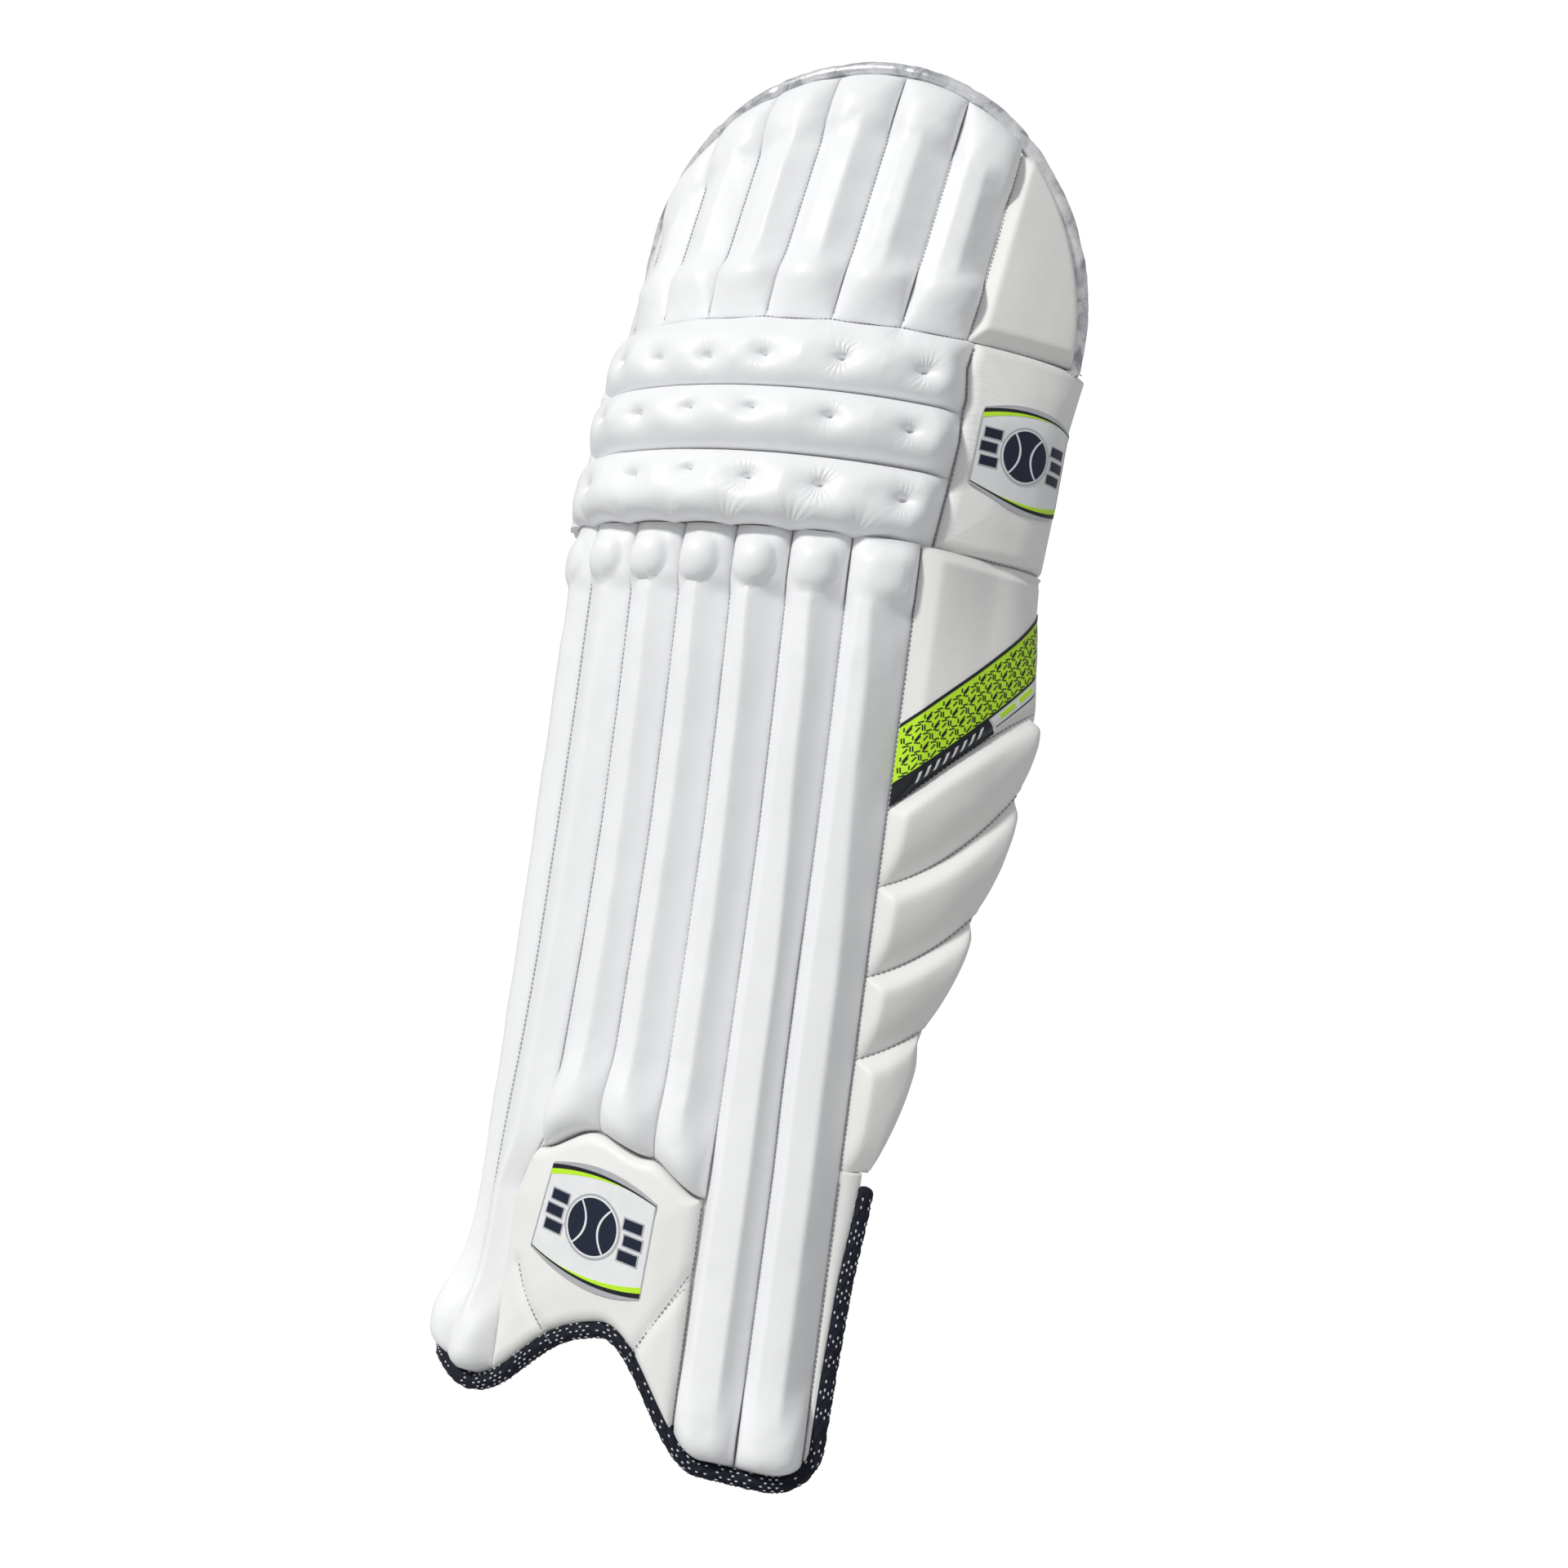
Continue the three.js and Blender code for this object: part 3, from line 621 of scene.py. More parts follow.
def cloth(name, colour, pitch, rough=0.9, knit=False):
    m = Nodes(name)
    where = m.place()
    waves = []
    for axis in ("DIAGONAL", "DIAGONAL") if knit else ("X", "Z"):
        wave = m.texture("Wave", where, bands_direction=axis, Scale=0.31415 / pitch, Distortion=0.4)
        waves.append(wave.outputs["Fac"])
    weave = m.times(*waves)
    tone = m.tone(m.noise(where, 40.0, 4.0), colour, 0.93)
    shade = m.blend(m.span(weave, 0, 1, 0.2, 0.0), tone, shaded(colour, 0.62))
    normal = m.bump(weave, 0.6, 0.0004)
    normal = m.bump(m.noise(where, 2600.0, 2.0), 0.35, 0.0002, normal)
    m.set(Sheen_Weight=0.25, Sheen_Roughness=0.5)
    return m.use(shade, rough, normal)


# The silver binding's colours: its own silver grey in the middle, with painted highlights and painted
# shade running from dark grey to nearly white.
FOIL_GLINTS_AND_SHADE = [
    (0.36, rgba(0.4, 0.41, 0.44)),
    (0.5, rgba(0.78, 0.79, 0.81)),
    (0.66, rgba(0.96, 0.96, 0.97)),
]


def foil(name):
    m = Nodes(name)
    where = m.place()
    folds = m.noise(where, 85.0, 4.0, Roughness=0.55, Distortion=0.8)
    creases = m.cells(where, 330.0, feature="DISTANCE_TO_EDGE")
    normal = m.bump(folds, 0.5, 0.0012)
    normal = m.bump(creases, 0.2, 0.0003, normal)
    m.set(Metallic=0.5)
    # The colour follows the folds: painted glints on their tops and painted shade in their hollows.
    return m.use(m.ramp(folds, FOIL_GLINTS_AND_SHADE), m.span(folds, 0.3, 0.7, 0.42, 0.24), normal)


def film(name, colour, rough, metal=0.0):
    m = Nodes(name)
    where = m.place()
    tone = m.tone(m.noise(where, 120.0, 4.0), colour, 0.95, 0.15)
    ripple = m.noise(where, 420.0, 3.0)
    normal = m.bump(ripple, 0.15, 0.0003)
    m.set(Metallic=metal, Coat_Weight=0.05, Coat_Roughness=0.2, Specular_IOR_Level=0.3)
    return m.use(tone, m.span(ripple, 0.3, 0.7, rough - 0.06, rough + 0.08), normal)


def yarn(name, colour, rough):
    m = Nodes(name)
    fibre = m.noise(m.place(), 1800.0, 3.0)
    m.set(Sheen_Weight=0.05, Sheen_Roughness=0.4, Specular_IOR_Level=0.25)
    return m.use(m.tone(fibre, colour, 0.7, 0.15), rough, m.bump(fibre, 0.6, 0.0003))


def foam(name, colour):
    m = Nodes(name)
    where = m.place()
    tone = m.tone(m.noise(where, 60.0, 4.0), colour, 0.9)
    return m.use(tone, 0.92, m.bump(m.cells(where, 900.0), 0.5, 0.0003))


def wood(name, colour):
    m = Nodes(name)
    stretch = m.node("ShaderNodeMapping", Scale=(1, 1, 0.06))
    m.link(m.place(), stretch.inputs["Vector"])
    fibre = m.noise(stretch.outputs["Vector"], 900.0, 5.0)
    roughness = m.span(fibre, 0.3, 0.7, 0.5, 0.75)
    return m.use(m.tone(fibre, colour, 0.6), roughness, m.bump(fibre, 0.4, 0.0003))


# The second colour of each leather is its painted edge shade and grime.
WHITE = leather("white_leather", (0.93, 0.935, 0.945), (0.5, 0.51, 0.54), 0.47)
IVORY = leather("side_leather", (0.872, 0.868, 0.846), (0.5, 0.49, 0.47), 0.52)
BOARD_FOAM = foam("foam_board", (0.78, 0.77, 0.74))
CANE = wood("cane", (0.72, 0.56, 0.34))
LINING = cloth("lining_cloth", (0.86, 0.86, 0.84), 0.0016, knit=True)
WEBBING = cloth("strap_webbing", (0.86, 0.86, 0.85), 0.0016, rough=0.8)
HOOK = cloth("hook_and_loop", (0.78, 0.78, 0.77), 0.0011, rough=1.0)
SILVER = foil("silver_binding")
ROPE_YARN = yarn("edge_rope", (0.009, 0.011, 0.024), 0.7)
FLECK = yarn("rope_fleck", (0.72, 0.74, 0.78), 0.6)
THREAD = yarn("thread", (0.36, 0.37, 0.41), 0.7)
DARK_THREAD = yarn("dark_thread", (0.2, 0.21, 0.25), 0.8)
NEON = film("print_neon", (0.56, 0.93, 0.03), 0.4)
BLACK = film("print_black", (0.012, 0.014, 0.02), 0.35)
NAVY = film("print_navy", (0.012, 0.018, 0.04), 0.3)
PRINT_SILVER = film("print_silver", (0.6, 0.61, 0.64), 0.3, 0.5)
PRINT_WHITE = film("print_white", (0.86, 0.87, 0.88), 0.35)

# ---------------------------------------------------------------- how pieces join the frame


def fold(body, x, y, start, end):
    """The shin, another body and two heights, describing a bend between them; attach only fixes in
    place a piece given one.
    """
    return ("shin", body, Vector((x, y, start * MM)), Vector((x, y, end * MM)))


HAT_FOLD = fold("top_hat", 0, -0.02, HAT_BASE - 1, HAT_BASE + 36)
WING_FOLD = fold("outer_wing", 0.12, 0, HAT_BASE - 6, SHIN_TOP + 2)


def attach(obj, body, material, replaces=()):
    """body is a body's name, or one of the folds above."""
    obj.data.materials.append(material)
    if isinstance(body, str):
        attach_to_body(obj, body)
    else:
        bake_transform(obj)
    if replaces:
        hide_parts(*replaces)
    return obj


# Stitches are gathered by the body they ride on, and made at the end.
stitch_sets = {}


def stitches(key, path, out, pitch=2.4, length=1.75, thick=0.34):
    """Short thread bars along a path, lying on the side that out points to."""
    far = travelled(path)
    at = (np.arange(int(far[-1] / pitch)) + 0.5) * pitch
    here = at_distances(path, far, at)
    along = unit(at_distances(path, far, at + 0.5) - at_distances(path, far, at - 0.5))
    up = at_distances(out, far, at)
    up = unit(up - along * np.einsum("ij,ij->i", up, along)[:, None])
    turn = 0.13 * noise(here, 1.7, 5)[:, None]
    along = along * np.cos(turn) + np.cross(along, up) * np.sin(turn)
    size = length * (1 + 0.12 * noise(here, 2.3, 6))
    made = (here, along, up, np.cross(along, up), size, np.full(len(at), thick))
    stitch_sets.setdefault(key, []).append(made)


def seam(key, surface, s, z, n, **sizes):
    """A row of stitches along a line on a surface of the pad."""
    path = surface(s, z, n)
    stitches(key, path, surface(s, z, n + 1) - path, **sizes)


# A thread bar's rings: where along it, how thick, how far out
BAR = [(-0.5, 0.35, -0.5), (-0.4, 0.85, -0.1), (0, 1, 0.15), (0.4, 0.85, -0.1), (0.5, 0.35, -0.5)]
BAR_SIDES = 6
BAR_WIDE, BAR_TALL = 1.15, 0.8


def make_stitches(name, key, body, material):
    sets = zip(*stitch_sets.pop(key))
    centre, along, up, side, size, thick = (np.concatenate(values) for values in sets)
    rings = []
    for t, radius, lift in BAR:
        middle = centre + along * (t * size)[:, None] + up * (lift * thick)[:, None]
        for a in turns(BAR_SIDES):
            spoke = side * math.cos(a) * BAR_WIDE + up * math.sin(a) * BAR_TALL
            rings.append(middle + spoke * (radius * thick)[:, None])
    points = np.stack(rings, 1)
    per = len(rings)
    ids = np.arange(per).reshape(len(BAR), BAR_SIDES)
    after = np.roll(ids, -1, 1)
    bar = np.stack([ids[:-1], after[:-1], after[1:], ids[1:]], -1).reshape(-1, 4).tolist()
    bar += [ids[0][::-1].tolist(), ids[-1].tolist()]
    faces = [tuple(i + m * per for i in face) for m in range(len(centre)) for face in bar]
    attach(finish_mesh(name, points.reshape(-1, 3), faces), body, material)


# ---------------------------------------------------------------- shin cushions


def is_short(rib):
    """The three middle cushions end at the instep panel."""
    return 3 <= rib <= 5


def rib_foot(rib, s):
    if is_short(rib):
        return eased(PANEL_TOP, s) + 0.6
    return lower_edge(s) + 7.6


def rib_ball(rib, U, t):
    """The ball of padding at a cushion's top, sharper along its lower right side."""
    wide, level = RIB_PITCH * (U - 0.43), t - 18.5
    inside = 1 - (wide / 12.4) ** 2 - (level / np.where(level < 0, 14.0, 11.8)) ** 2
    blunt = mix(1.0, 0.52, smooth((wide + level) / 12.4, -0.9, 0.5))
    return BALL_SIZES[rib - 1] * np.clip(inside, 0, 1) ** blunt * smooth(inside, 0, 0.14)


def shin_rib(rib):
    us = np.concatenate([[0], steps(0.02, 0.98, 0.034), [1]])
    vs = np.concatenate([steps(0, 0.22, 0.006), steps(0.23, 0.82, 0.016), steps(0.83, 1, 0.006)])
    U, V = grid(us, vs)
    top = SHIN_TOP - 0.3
    level = mix(float(rib_foot(rib, (rib - 4) * RIB_PITCH)), top, V)
    S = mix(rib_seam(rib - 1, level) + 0.05, rib_seam(rib, level) - 0.05, U)
    Z = mix(rib_foot(rib, S), top, V)
    d, t = Z - rib_foot(rib, S), top - Z

    # across: a ridge along the body, an arch at the foot and at the top
    high_crest, low_crest = RIB_CRESTS[rib - 1]
    crest = mix(low_crest, high_crest, smooth(Z, 240, 365)) - 0.06 * (1 - smooth(t, 34, 80))
    shape = ridge(U, RIB_LEFT[rib - 1], crest)
    shape = mix(shape, arch(U, 2.8 if rib > 5 else 2.3), 1 - smooth(d, 16, 46))
    shape = mix(shape, arch(U, 2.6) * 0.85, 1 - smooth(t, 26, 36))

    # along: a swollen foot, and a waist under the ball
    foot_share = bell(np.maximum(d - 17, 0), 30 if rib < 3 else 20)
    height = mix(RIB_RISE[rib - 1], RIB_FOOT_RISE[rib - 1], foot_share)
    height = height * (1 - 0.1 * (1 - smooth(t, 36, 64)) * smooth(t, 24, 34))
    height = height * mix(0.55, 1, smooth(t, 0, 12))
    height = height * (0.06 + 0.94 * rounded(d, 15 if is_short(rib) else 12))

    spot = np.stack([S, Z], -1)
    lumps = 0.35 * noise(spot, 17, rib) + 0.16 * noise(spot, 6.5, rib + 9)
    fold_depth = 0.28 if rib > 5 else 0.12
    lumps += fold_depth * bell(d - 17, 7) * noise(spot * [1.0, 2.1], 3.4, rib + 20)
    inside = np.minimum(1, 5 * np.minimum(U, 1 - U))
    N = 0.7 + shape * height + rib_ball(rib, U, t) + lumps * inside
    obj = cover(f"shin_cover_{rib}", shin, S, Z, N, SKIN, 0.75, 1.3)
    attach(obj, "shin", WHITE, [f"shin_bolster_{rib}"])


for rib in range(1, 8):
    shin_rib(rib)

for k in range(8):
    middle = (k - 3.5) * RIB_PITCH
    low = float(eased(PANEL_TOP, middle)) + 4 if 2 < k < 5 else float(lower_edge(middle)) + 10
    z = steps(low, SHIN_TOP - 1, 4)
    if k == 7:
        on_wing = z[z > WING_FOOT]
        seam("wing", shin, rib_seam(k, on_wing) + 0.3, on_wing, 1.55)
        z = z[z < WING_FOOT]
    seam("shin", shin, rib_seam(k, z) + (0.7 if k < 7 else 0.3), z, 1.55)

# ---------------------------------------------------------------- shin boards, side pieces, instep


def shin_grid(sides, top, lift, size):
    """Points from the lower edge up to a height, between two distances round."""
    U, V = grid(steps(0, 1, size / (sides[1] - sides[0])), steps(0, 1, size / 260))
    S = mix(sides[0], sides[1], U)
    return U, S, mix(lower_edge(S) + lift, top(S) if callable(top) else top, V)


def board_top(s):
    """The board stands up behind the knee's in the middle, where one lies behind the other."""
    return SHIN_TOP + 0.2 + 7 * (1 - smooth(np.abs(s), 42, 62))


def inner_side_detail(S, Z, d):
    """The inner side panels lie lower than the cushions beside them."""
    lumps = 0.25 * noise(np.stack([S, Z], -1), 19, 4) * smooth(d, 0, 8)
    return lumps - 4.6 * smooth(S, -150, -120)


def rope_spread(z):
    """How far the outer end of the rope swings out, with height."""
    return 4.5 * smooth(z, 15, 150) + 3.5 * smooth(z, 95, 160)


U, S, Z = shin_grid((-SHIN_HALF + 0.5, SHIN_HALF + 2.4), board_top, 7, 4)
obj = panel("shin_board", shin, S, Z, -BOARD + 0.2, -0.1, 0.5, 1)
attach(obj, "shin", BOARD_FOAM, ["shin_backing"])

U, S, Z = shin_grid((INNER_EDGE, -SHIN_HALF - 0.2), SHIN_TOP - 0.5, 7.5, 2.4)
obj = panel("inner_wing_cover", shin, S, Z, -BOARD, PANEL, 5, 7, 0.6, 28, inner_side_detail)
attach(obj, "shin", IVORY, ["inner_wing"])

U, S, Z = shin_grid((SHIN_HALF + 0.8, 112.4), WING_FOOT + 1, 8, 0.7)
obj = panel("outer_gusset_cover", shin, S + U * rope_spread(Z), Z, -BOARD, 2.2, 1.4, 1.6)
attach(obj, "shin", IVORY, ["outer_gusset"])

# Instep panel: padded, with a stitched diagonal on each side of the badge
DIAGONALS = [((-48.5, 86), (-39, 64), (-20, 51)), ((45, 97), (34, 76), (19, 51))]


def curve(points, count):
    p = np.array(points, float)
    t = np.linspace(0, 1, count)[:, None]
    return (1 - t) ** 2 * p[0] + 2 * t * (1 - t) * p[1] + t**2 * p[2]


diagonal_lines = [curve(c, 30) for c in DIAGONALS]


def instep_detail(S, Z, d):
    spot = np.stack([S, Z], -1)
    total = 0.25 * noise(spot, 14, 8) * smooth(d, 0, 8)
    for line in diagonal_lines:
        reach = np.min(np.linalg.norm(spot[..., None, :] - line, axis=-1), -1)
        total -= 2.1 * bell(reach, 2.6, 1.3)
    return total


U, S, Z = shin_grid(PANEL_SIDES, lambda s: eased(PANEL_TOP, s) - 0.2, 7.2, 1.3)
obj = panel("instep_cover", shin, S, Z, GAP, 6.6, 5.6, 7, 1.6, 28, instep_detail)
attach(obj, "shin", IVORY, ["instep_panel"])
for line in diagonal_lines:
    seam("shin", shin, line[:, 0], line[:, 1], 6.3, pitch=2.6)
s = steps(PANEL_SIDES[0] + 2, PANEL_SIDES[1] - 2, 2)
seam("shin", shin, s, eased(PANEL_TOP, s) + 0.2, 1.6, pitch=2.6)
for s in PANEL_SIDES:
    z = steps(float(lower_edge(s)) + 10, float(eased(PANEL_TOP, s)) - 3, 3)
    seam("shin", shin, s, z, 1.3, pitch=2.6)

# ---------------------------------------------------------------- knee rolls

# Tufts of each roll, from the lowest: where they are, and how strongly the leather gathers round them
DIMPLES = [
    [(-72.8, 482.3), (-39.1, 485.8), (-7.7, 489.3), (23.2, 485.9), (56.9, 485.3), (95.6, 483.7)],
    [(-76.2, 521.0), (-45.2, 519.8), (-14.8, 522.1), (17.7, 522.8), (54.9, 521.3), (92.4, 519.8)],
    [(-73.2, 553.8), (-42.6, 551.5), (-12.5, 551.0), (16.6, 552.8), (53.3, 553.4), (92.1, 552.6)],
]
FANS = [
    [0.25, 0.35, 0.5, 1.1, 0.9, 0.45],
    [0.15, 0.2, 0.3, 0.25, 0.35, 0.3],
    [0.3, 0.4, 0.8, 0.45, 1.15, 0.7],
]
GATHERS = 19


def pinched(n, x, y, spread, depth, gather, reach, phase):
    """A cushion drawn in at a seam's end, with short gathers fanning from it."""
    pinch = bell(np.hypot(x / spread[0], y / spread[1]), 1, 1.4)
    spokes = np.sin(GATHERS * np.arctan2(x, y + 2) + phase)
    return n * (1 - depth * pinch) + gather * spokes * bell(np.hypot(x, y), reach) * smooth(y, 0.5, 4)


def roll_shape(i, S, Z):
    """Height of a knee roll's face above the stitched skin."""
    low, high = ROLL_SEAMS[i], ROLL_SEAMS[i + 1]
    v = (Z - low) / (high - low)
    if i == 0:
        bulge = np.clip(1 - np.abs(2 * v - 1) ** 2.6, 0, 1) ** 0.5
    else:
        bulge = np.sin(np.pi * np.clip(v, 0, 1)) ** 0.52
    from_left, from_right = S - ROLL_SIDES[0], roll_right(Z) - S
    full = (0.1 + 0.9 * quarter(from_left, 52)) * (0.04 + 0.96 * quarter(from_right, 19))
    joined = 0.7 * (1 - smooth(from_left, 5, 22))
    N = ROLL_HEIGHT * np.maximum(bulge, joined) * full
    spot = np.stack([S, Z], -1)
    sunk = np.zeros(S.shape)
    fans = np.zeros(S.shape)
    for (sd, zd), fan in zip(DIMPLES[i], FANS[i]):
        x, y = S - sd, Z - zd
        r = np.hypot(x, y * 1.1)
        slot = 0.2 * bell(np.hypot(x * 0.7, y * 1.5), 1.7, 1.5)
        sunk = np.maximum(sunk, 0.36 * bell(r, 8.5, 1.25) + slot)
        angle = np.arctan2(y, x)
        spokes = np.sin(GATHERS * angle + 3 * noise(spot, 5, int(sd + 200)) + sd)
        upright = 0.25 + 0.75 * np.abs(np.sin(angle)) ** 3
        fans += fan * spokes * upright * bell(r, 8.5) * smooth(r, 0.8, 3.0)
    N = N * (1 - sunk) + 0.55 * fans * np.clip(bulge, 0, 1)
    if i == 0:
        for k in range(1, 8):
            at = (k - 3.5) * RIB_PITCH
            gather = 0.26 * (1.2 if k in (4, 5) else 0.6)
            N = pinched(N, S - at, Z - low, (4.5, 9), 0.34, gather, 10, at)
    if i == 2:
        for k in range(1, 6):
            at = hat_seam(k, 0)
            N = pinched(N, S - at, high - Z, (4, 8), 0.5 if k == 5 else 0.22, 0.22, 9, at)
    wrinkle = np.exp(-np.maximum(from_right, 0) / 5) * np.sin(Z * 2.1 + 3 * noise(spot, 7, 31)) * 0.25
    lumps = 0.5 * noise(spot, 16, 3 + i) + 0.18 * noise(spot, 5.5, 13 + i)
    return 0.7 + N + (lumps + wrinkle) * np.clip(bulge * full, 0, 1)


for i, part in enumerate(ROLL_PARTS):
    U, V = grid(steps(0, 1, 0.46 / 227), 0.5 - 0.5 * np.cos(np.pi * steps(0, 1, 0.0145)))
    level = mix(ROLL_SEAMS[i], ROLL_SEAMS[i + 1], V)
    S = mix(ROLL_SIDES[0] + 0.1, roll_right(level) - 0.1, U)
    Z = mix(roll_edge(i, S), roll_edge(i + 1, S), V)
    N = roll_shape(i, S, level)
    obj = cover(f"knee_roll_cover_{part}", knee, S, Z, N, SKIN, 0.7, 1.2)
    attach(obj, "shin", WHITE, [f"knee_roll_{part}"])
    for sd, zd in DIMPLES[i]:
        n = roll_shape(i, np.array([[sd]]), np.array([[zd]]))[0, 0] - 0.1
        s = sd + np.array([-2.0, 0, 2.0])
        seam("tufts", knee, s, zd, n, pitch=3.9, length=3.4, thick=0.42)

for i in (1, 2):
    s = steps(ROLL_SIDES[0] + 12, ROLL_SIDES[1] - 2, 3)
    seam("shin", knee, s, roll_edge(i, s), 1.4)
s = steps(ROLL_SIDES[0] + 12, ROLL_SIDES[1] - 6, 2)
seam("shin", knee, s, roll_edge(3, s) + 0.4, 1.6)
z = steps(ROLL_SEAMS[0] + 1, ROLL_SEAMS[3] - 1, 3)
seam("shin", knee, roll_right(z) + 0.2, z, 2.2, pitch=3.0, length=2.4, thick=0.5)

# ---------------------------------------------------------------- knee boards and side panels

KNEE_LEVELS = (SHIN_TOP + 0.3, HAT_BASE - 0.3)


def knee_grid(first, last, across, along):
    """Points over the knee's height, from first, a distance or a function of height, to last."""
    low, high = KNEE_LEVELS
    start = first if callable(first) else lambda z: first
    wide = last - float(start(low))
    U, V = grid(steps(0, 1, across / wide), steps(0, 1, along / (high - low)))
    Z = mix(low, high, V)
    return mix(start(Z), last, U), Z


def outer_knee_detail(S, Z, d):
    """Fine gathers beside the rolls, and the panel thinning towards the back."""
    spot = np.stack([S, Z], -1)
    from_roll = S - roll_right(Z)
    waves = Z * 1.9 + 9 * noise(spot * [0.5, 1], 13, 41)
    lines = np.sin(waves) + 0.9 * noise(spot * [0.25, 1], 1.7, 42)
    patchy = 0.4 + 0.6 * np.clip(noise(spot, 12, 43) + 0.5, 0, 1)
    gather = 0.16 * np.exp(-from_roll / 9) * lines * smooth(from_roll, 0, 3) * patchy
    return gather + 0.35 * noise(spot, 17, 44) * smooth(d, 0, 8) - side_thin(S)


S, Z = knee_grid(ROLL_SIDES[0] + 0.5, ROLL_SIDES[1] - 0.5, 4, 4)
obj = panel("knee_board", knee, S, Z, -BOARD + 0.2, -0.1, 0.4, 1)
attach(obj, "shin", BOARD_FOAM, ["knee_backing"])

S, Z = knee_grid(104, 129, 2.5, 3)
obj = panel("knee_seam_tape", knee, S, Z, -BOARD - 1.2, -BOARD - 0.4, 0.2, 1)
attach(obj, "shin", LINING)

SIDE_TOP = PANEL - 0.2
S, Z = knee_grid(lambda z: roll_right(z) + 0.15, PANEL_BACK - 2, 0.8, 0.62)
obj = panel("knee_side_outer", knee, S, Z, -BOARD, SIDE_TOP, 4.6, 6.5, 1.6, detail=outer_knee_detail)
attach(obj, WING_FOLD, IVORY, ["knee_panel_outer"])

S, Z = knee_grid(INNER_EDGE - 1, ROLL_SIDES[0] - 0.15, 1.6, 1.6)
obj = panel("knee_side_inner", knee, S, Z, -BOARD, SIDE_TOP, 4.6, 6.5, 0.4, detail=inner_side_detail)
attach(obj, "shin", IVORY, ["knee_panel_inner"])

s = steps(ROLL_SIDES[1] + 3, PANEL_BACK - 9, 3)
seam("knee_side", knee, s, SHIN_TOP + 0.1, 2.4, pitch=2.7)
seam("hat", knee, s, HAT_BASE - 0.1, 2.4, pitch=2.7)

# ---------------------------------------------------------------- top hat

HAT_SEAM_LEVEL = 110


def hat_crown(k):
    """Height of the outline over a seam."""
    return float(hat_outline(hat_seam(k, HAT_SEAM_LEVEL)))


def hat_rib(rib):
    us = np.concatenate([[0], steps(0.02, 0.98, 0.03), [1]])
    vs = np.concatenate([steps(0, 0.32, 0.009), steps(0.335, 0.7, 0.018), steps(0.712, 1, 0.008)])
    U, V = grid(us, vs)
    top = mix(hat_crown(rib - 1) - 4.6, hat_crown(rib) - 4.6, U) + np.sin(np.pi * U)
    d = mix(0.3, top, V)
    t = top - d
    S = mix(hat_seam(rib - 1, d) + 0.05, hat_seam(rib, d) - 0.05, U)
    body = ridge(U, HAT_LEFT[rib - 1], HAT_CRESTS[rib - 1])
    shape = mix(arch(U, 2.6), body, smooth(t, 26, 42))
    shape = mix(arch(U, 2.2), shape, smooth(d, 26, 42))
    rise, ball = HAT_RISE[rib - 1], HAT_BALL[rib - 1]
    height = rise - 1.2 * bell(t - 40, 9) - 0.8 * bell(d - 46, 8)
    height = height + (ball - rise) * bell(t - 16, 12) + 1.6 * bell(d - 27, 11)
    height = height * mix(0.08, 1, quarter(d, 27)) * (0.05 + 0.95 * rounded(t, 19))
    spot = np.stack([S, d], -1)
    lumps = 0.4 * noise(spot, 15, rib + 50) + 0.15 * noise(spot, 5, rib + 60)
    inside = np.minimum(1, 5 * np.minimum(U, 1 - U)) * smooth(d, 0, 5)
    N = 0.8 + shape * height + lumps * inside
    obj = cover(f"top_hat_cover_{rib}", hat, S, d, N, SKIN, 0.75, 1.3)
    attach(obj, HAT_FOLD, WHITE, [f"top_hat_bolster_{rib}"])


for rib in range(1, 7):
    hat_rib(rib)
for k in range(7):
    w = steps(4, hat_crown(k) - 6, 4)
    seam("hat", hat, hat_seam(k, w) + 0.6, w, 1.6)

U, V = grid(steps(0, 1, 0.02), steps(0, 1, 0.025))
S = mix(hat_seam(0, 0) + 0.3, hat_seam(6, 0) - 0.3, U)
S = S + HAT_RIB_DRIFT * mix(0.3, hat_outline(S) - 3.4, V) * U
W = mix(0.3, hat_outline(S) - 3.4, V)
obj = cover("top_hat_board", hat, S, W, -0.1, -BOARD + 0.2)
attach(obj, HAT_FOLD, BOARD_FOAM, ["top_hat_backing"])


def hat_side(name, side, seam_at, top, node, seam_bevel, drop=0.0):
    """A side panel of the top hat, bevelled along its seams and lowered by drop."""
    U, V = grid(steps(0, 1, 0.02), steps(0, 1, 0.0085))
    W = mix(0.4, top, V)
    edge = hat_reach(np.maximum(W, 1), side) - side * 3.2
    S = mix(seam_at(W), edge, U)
    slope = np.minimum(bevel(np.abs(S - seam_at(W)), seam_bevel, 0.25), bevel(W, 9.0, 0.25))
    slope = soft_min(slope, bevel(np.abs(edge - S), 6.0, 0.3), 0.15)
    slope = soft_min(slope, np.clip((top + 1 - W) / 7, 0, 1), 0.15)
    N = 1.2 + 6.2 * np.clip(slope, 0, 1) + 0.25 * noise(np.stack([S, W], -1), 18, 71)
    obj = cover(name, hat, S, W, np.maximum(N - drop, 1.2), -BOARD)
    attach(obj, HAT_FOLD, IVORY, [node])


hat_side(
    "top_hat_side_outer", 1, lambda w: hat_seam(6, w) + 0.15, 114.5, "top_hat_wing_outer", 6.5)
hat_side(
    "top_hat_side_inner", -1, lambda w: hat_seam(0, w) - 0.15, 84.0, "top_hat_wing_inner", 5.0, 5.6)

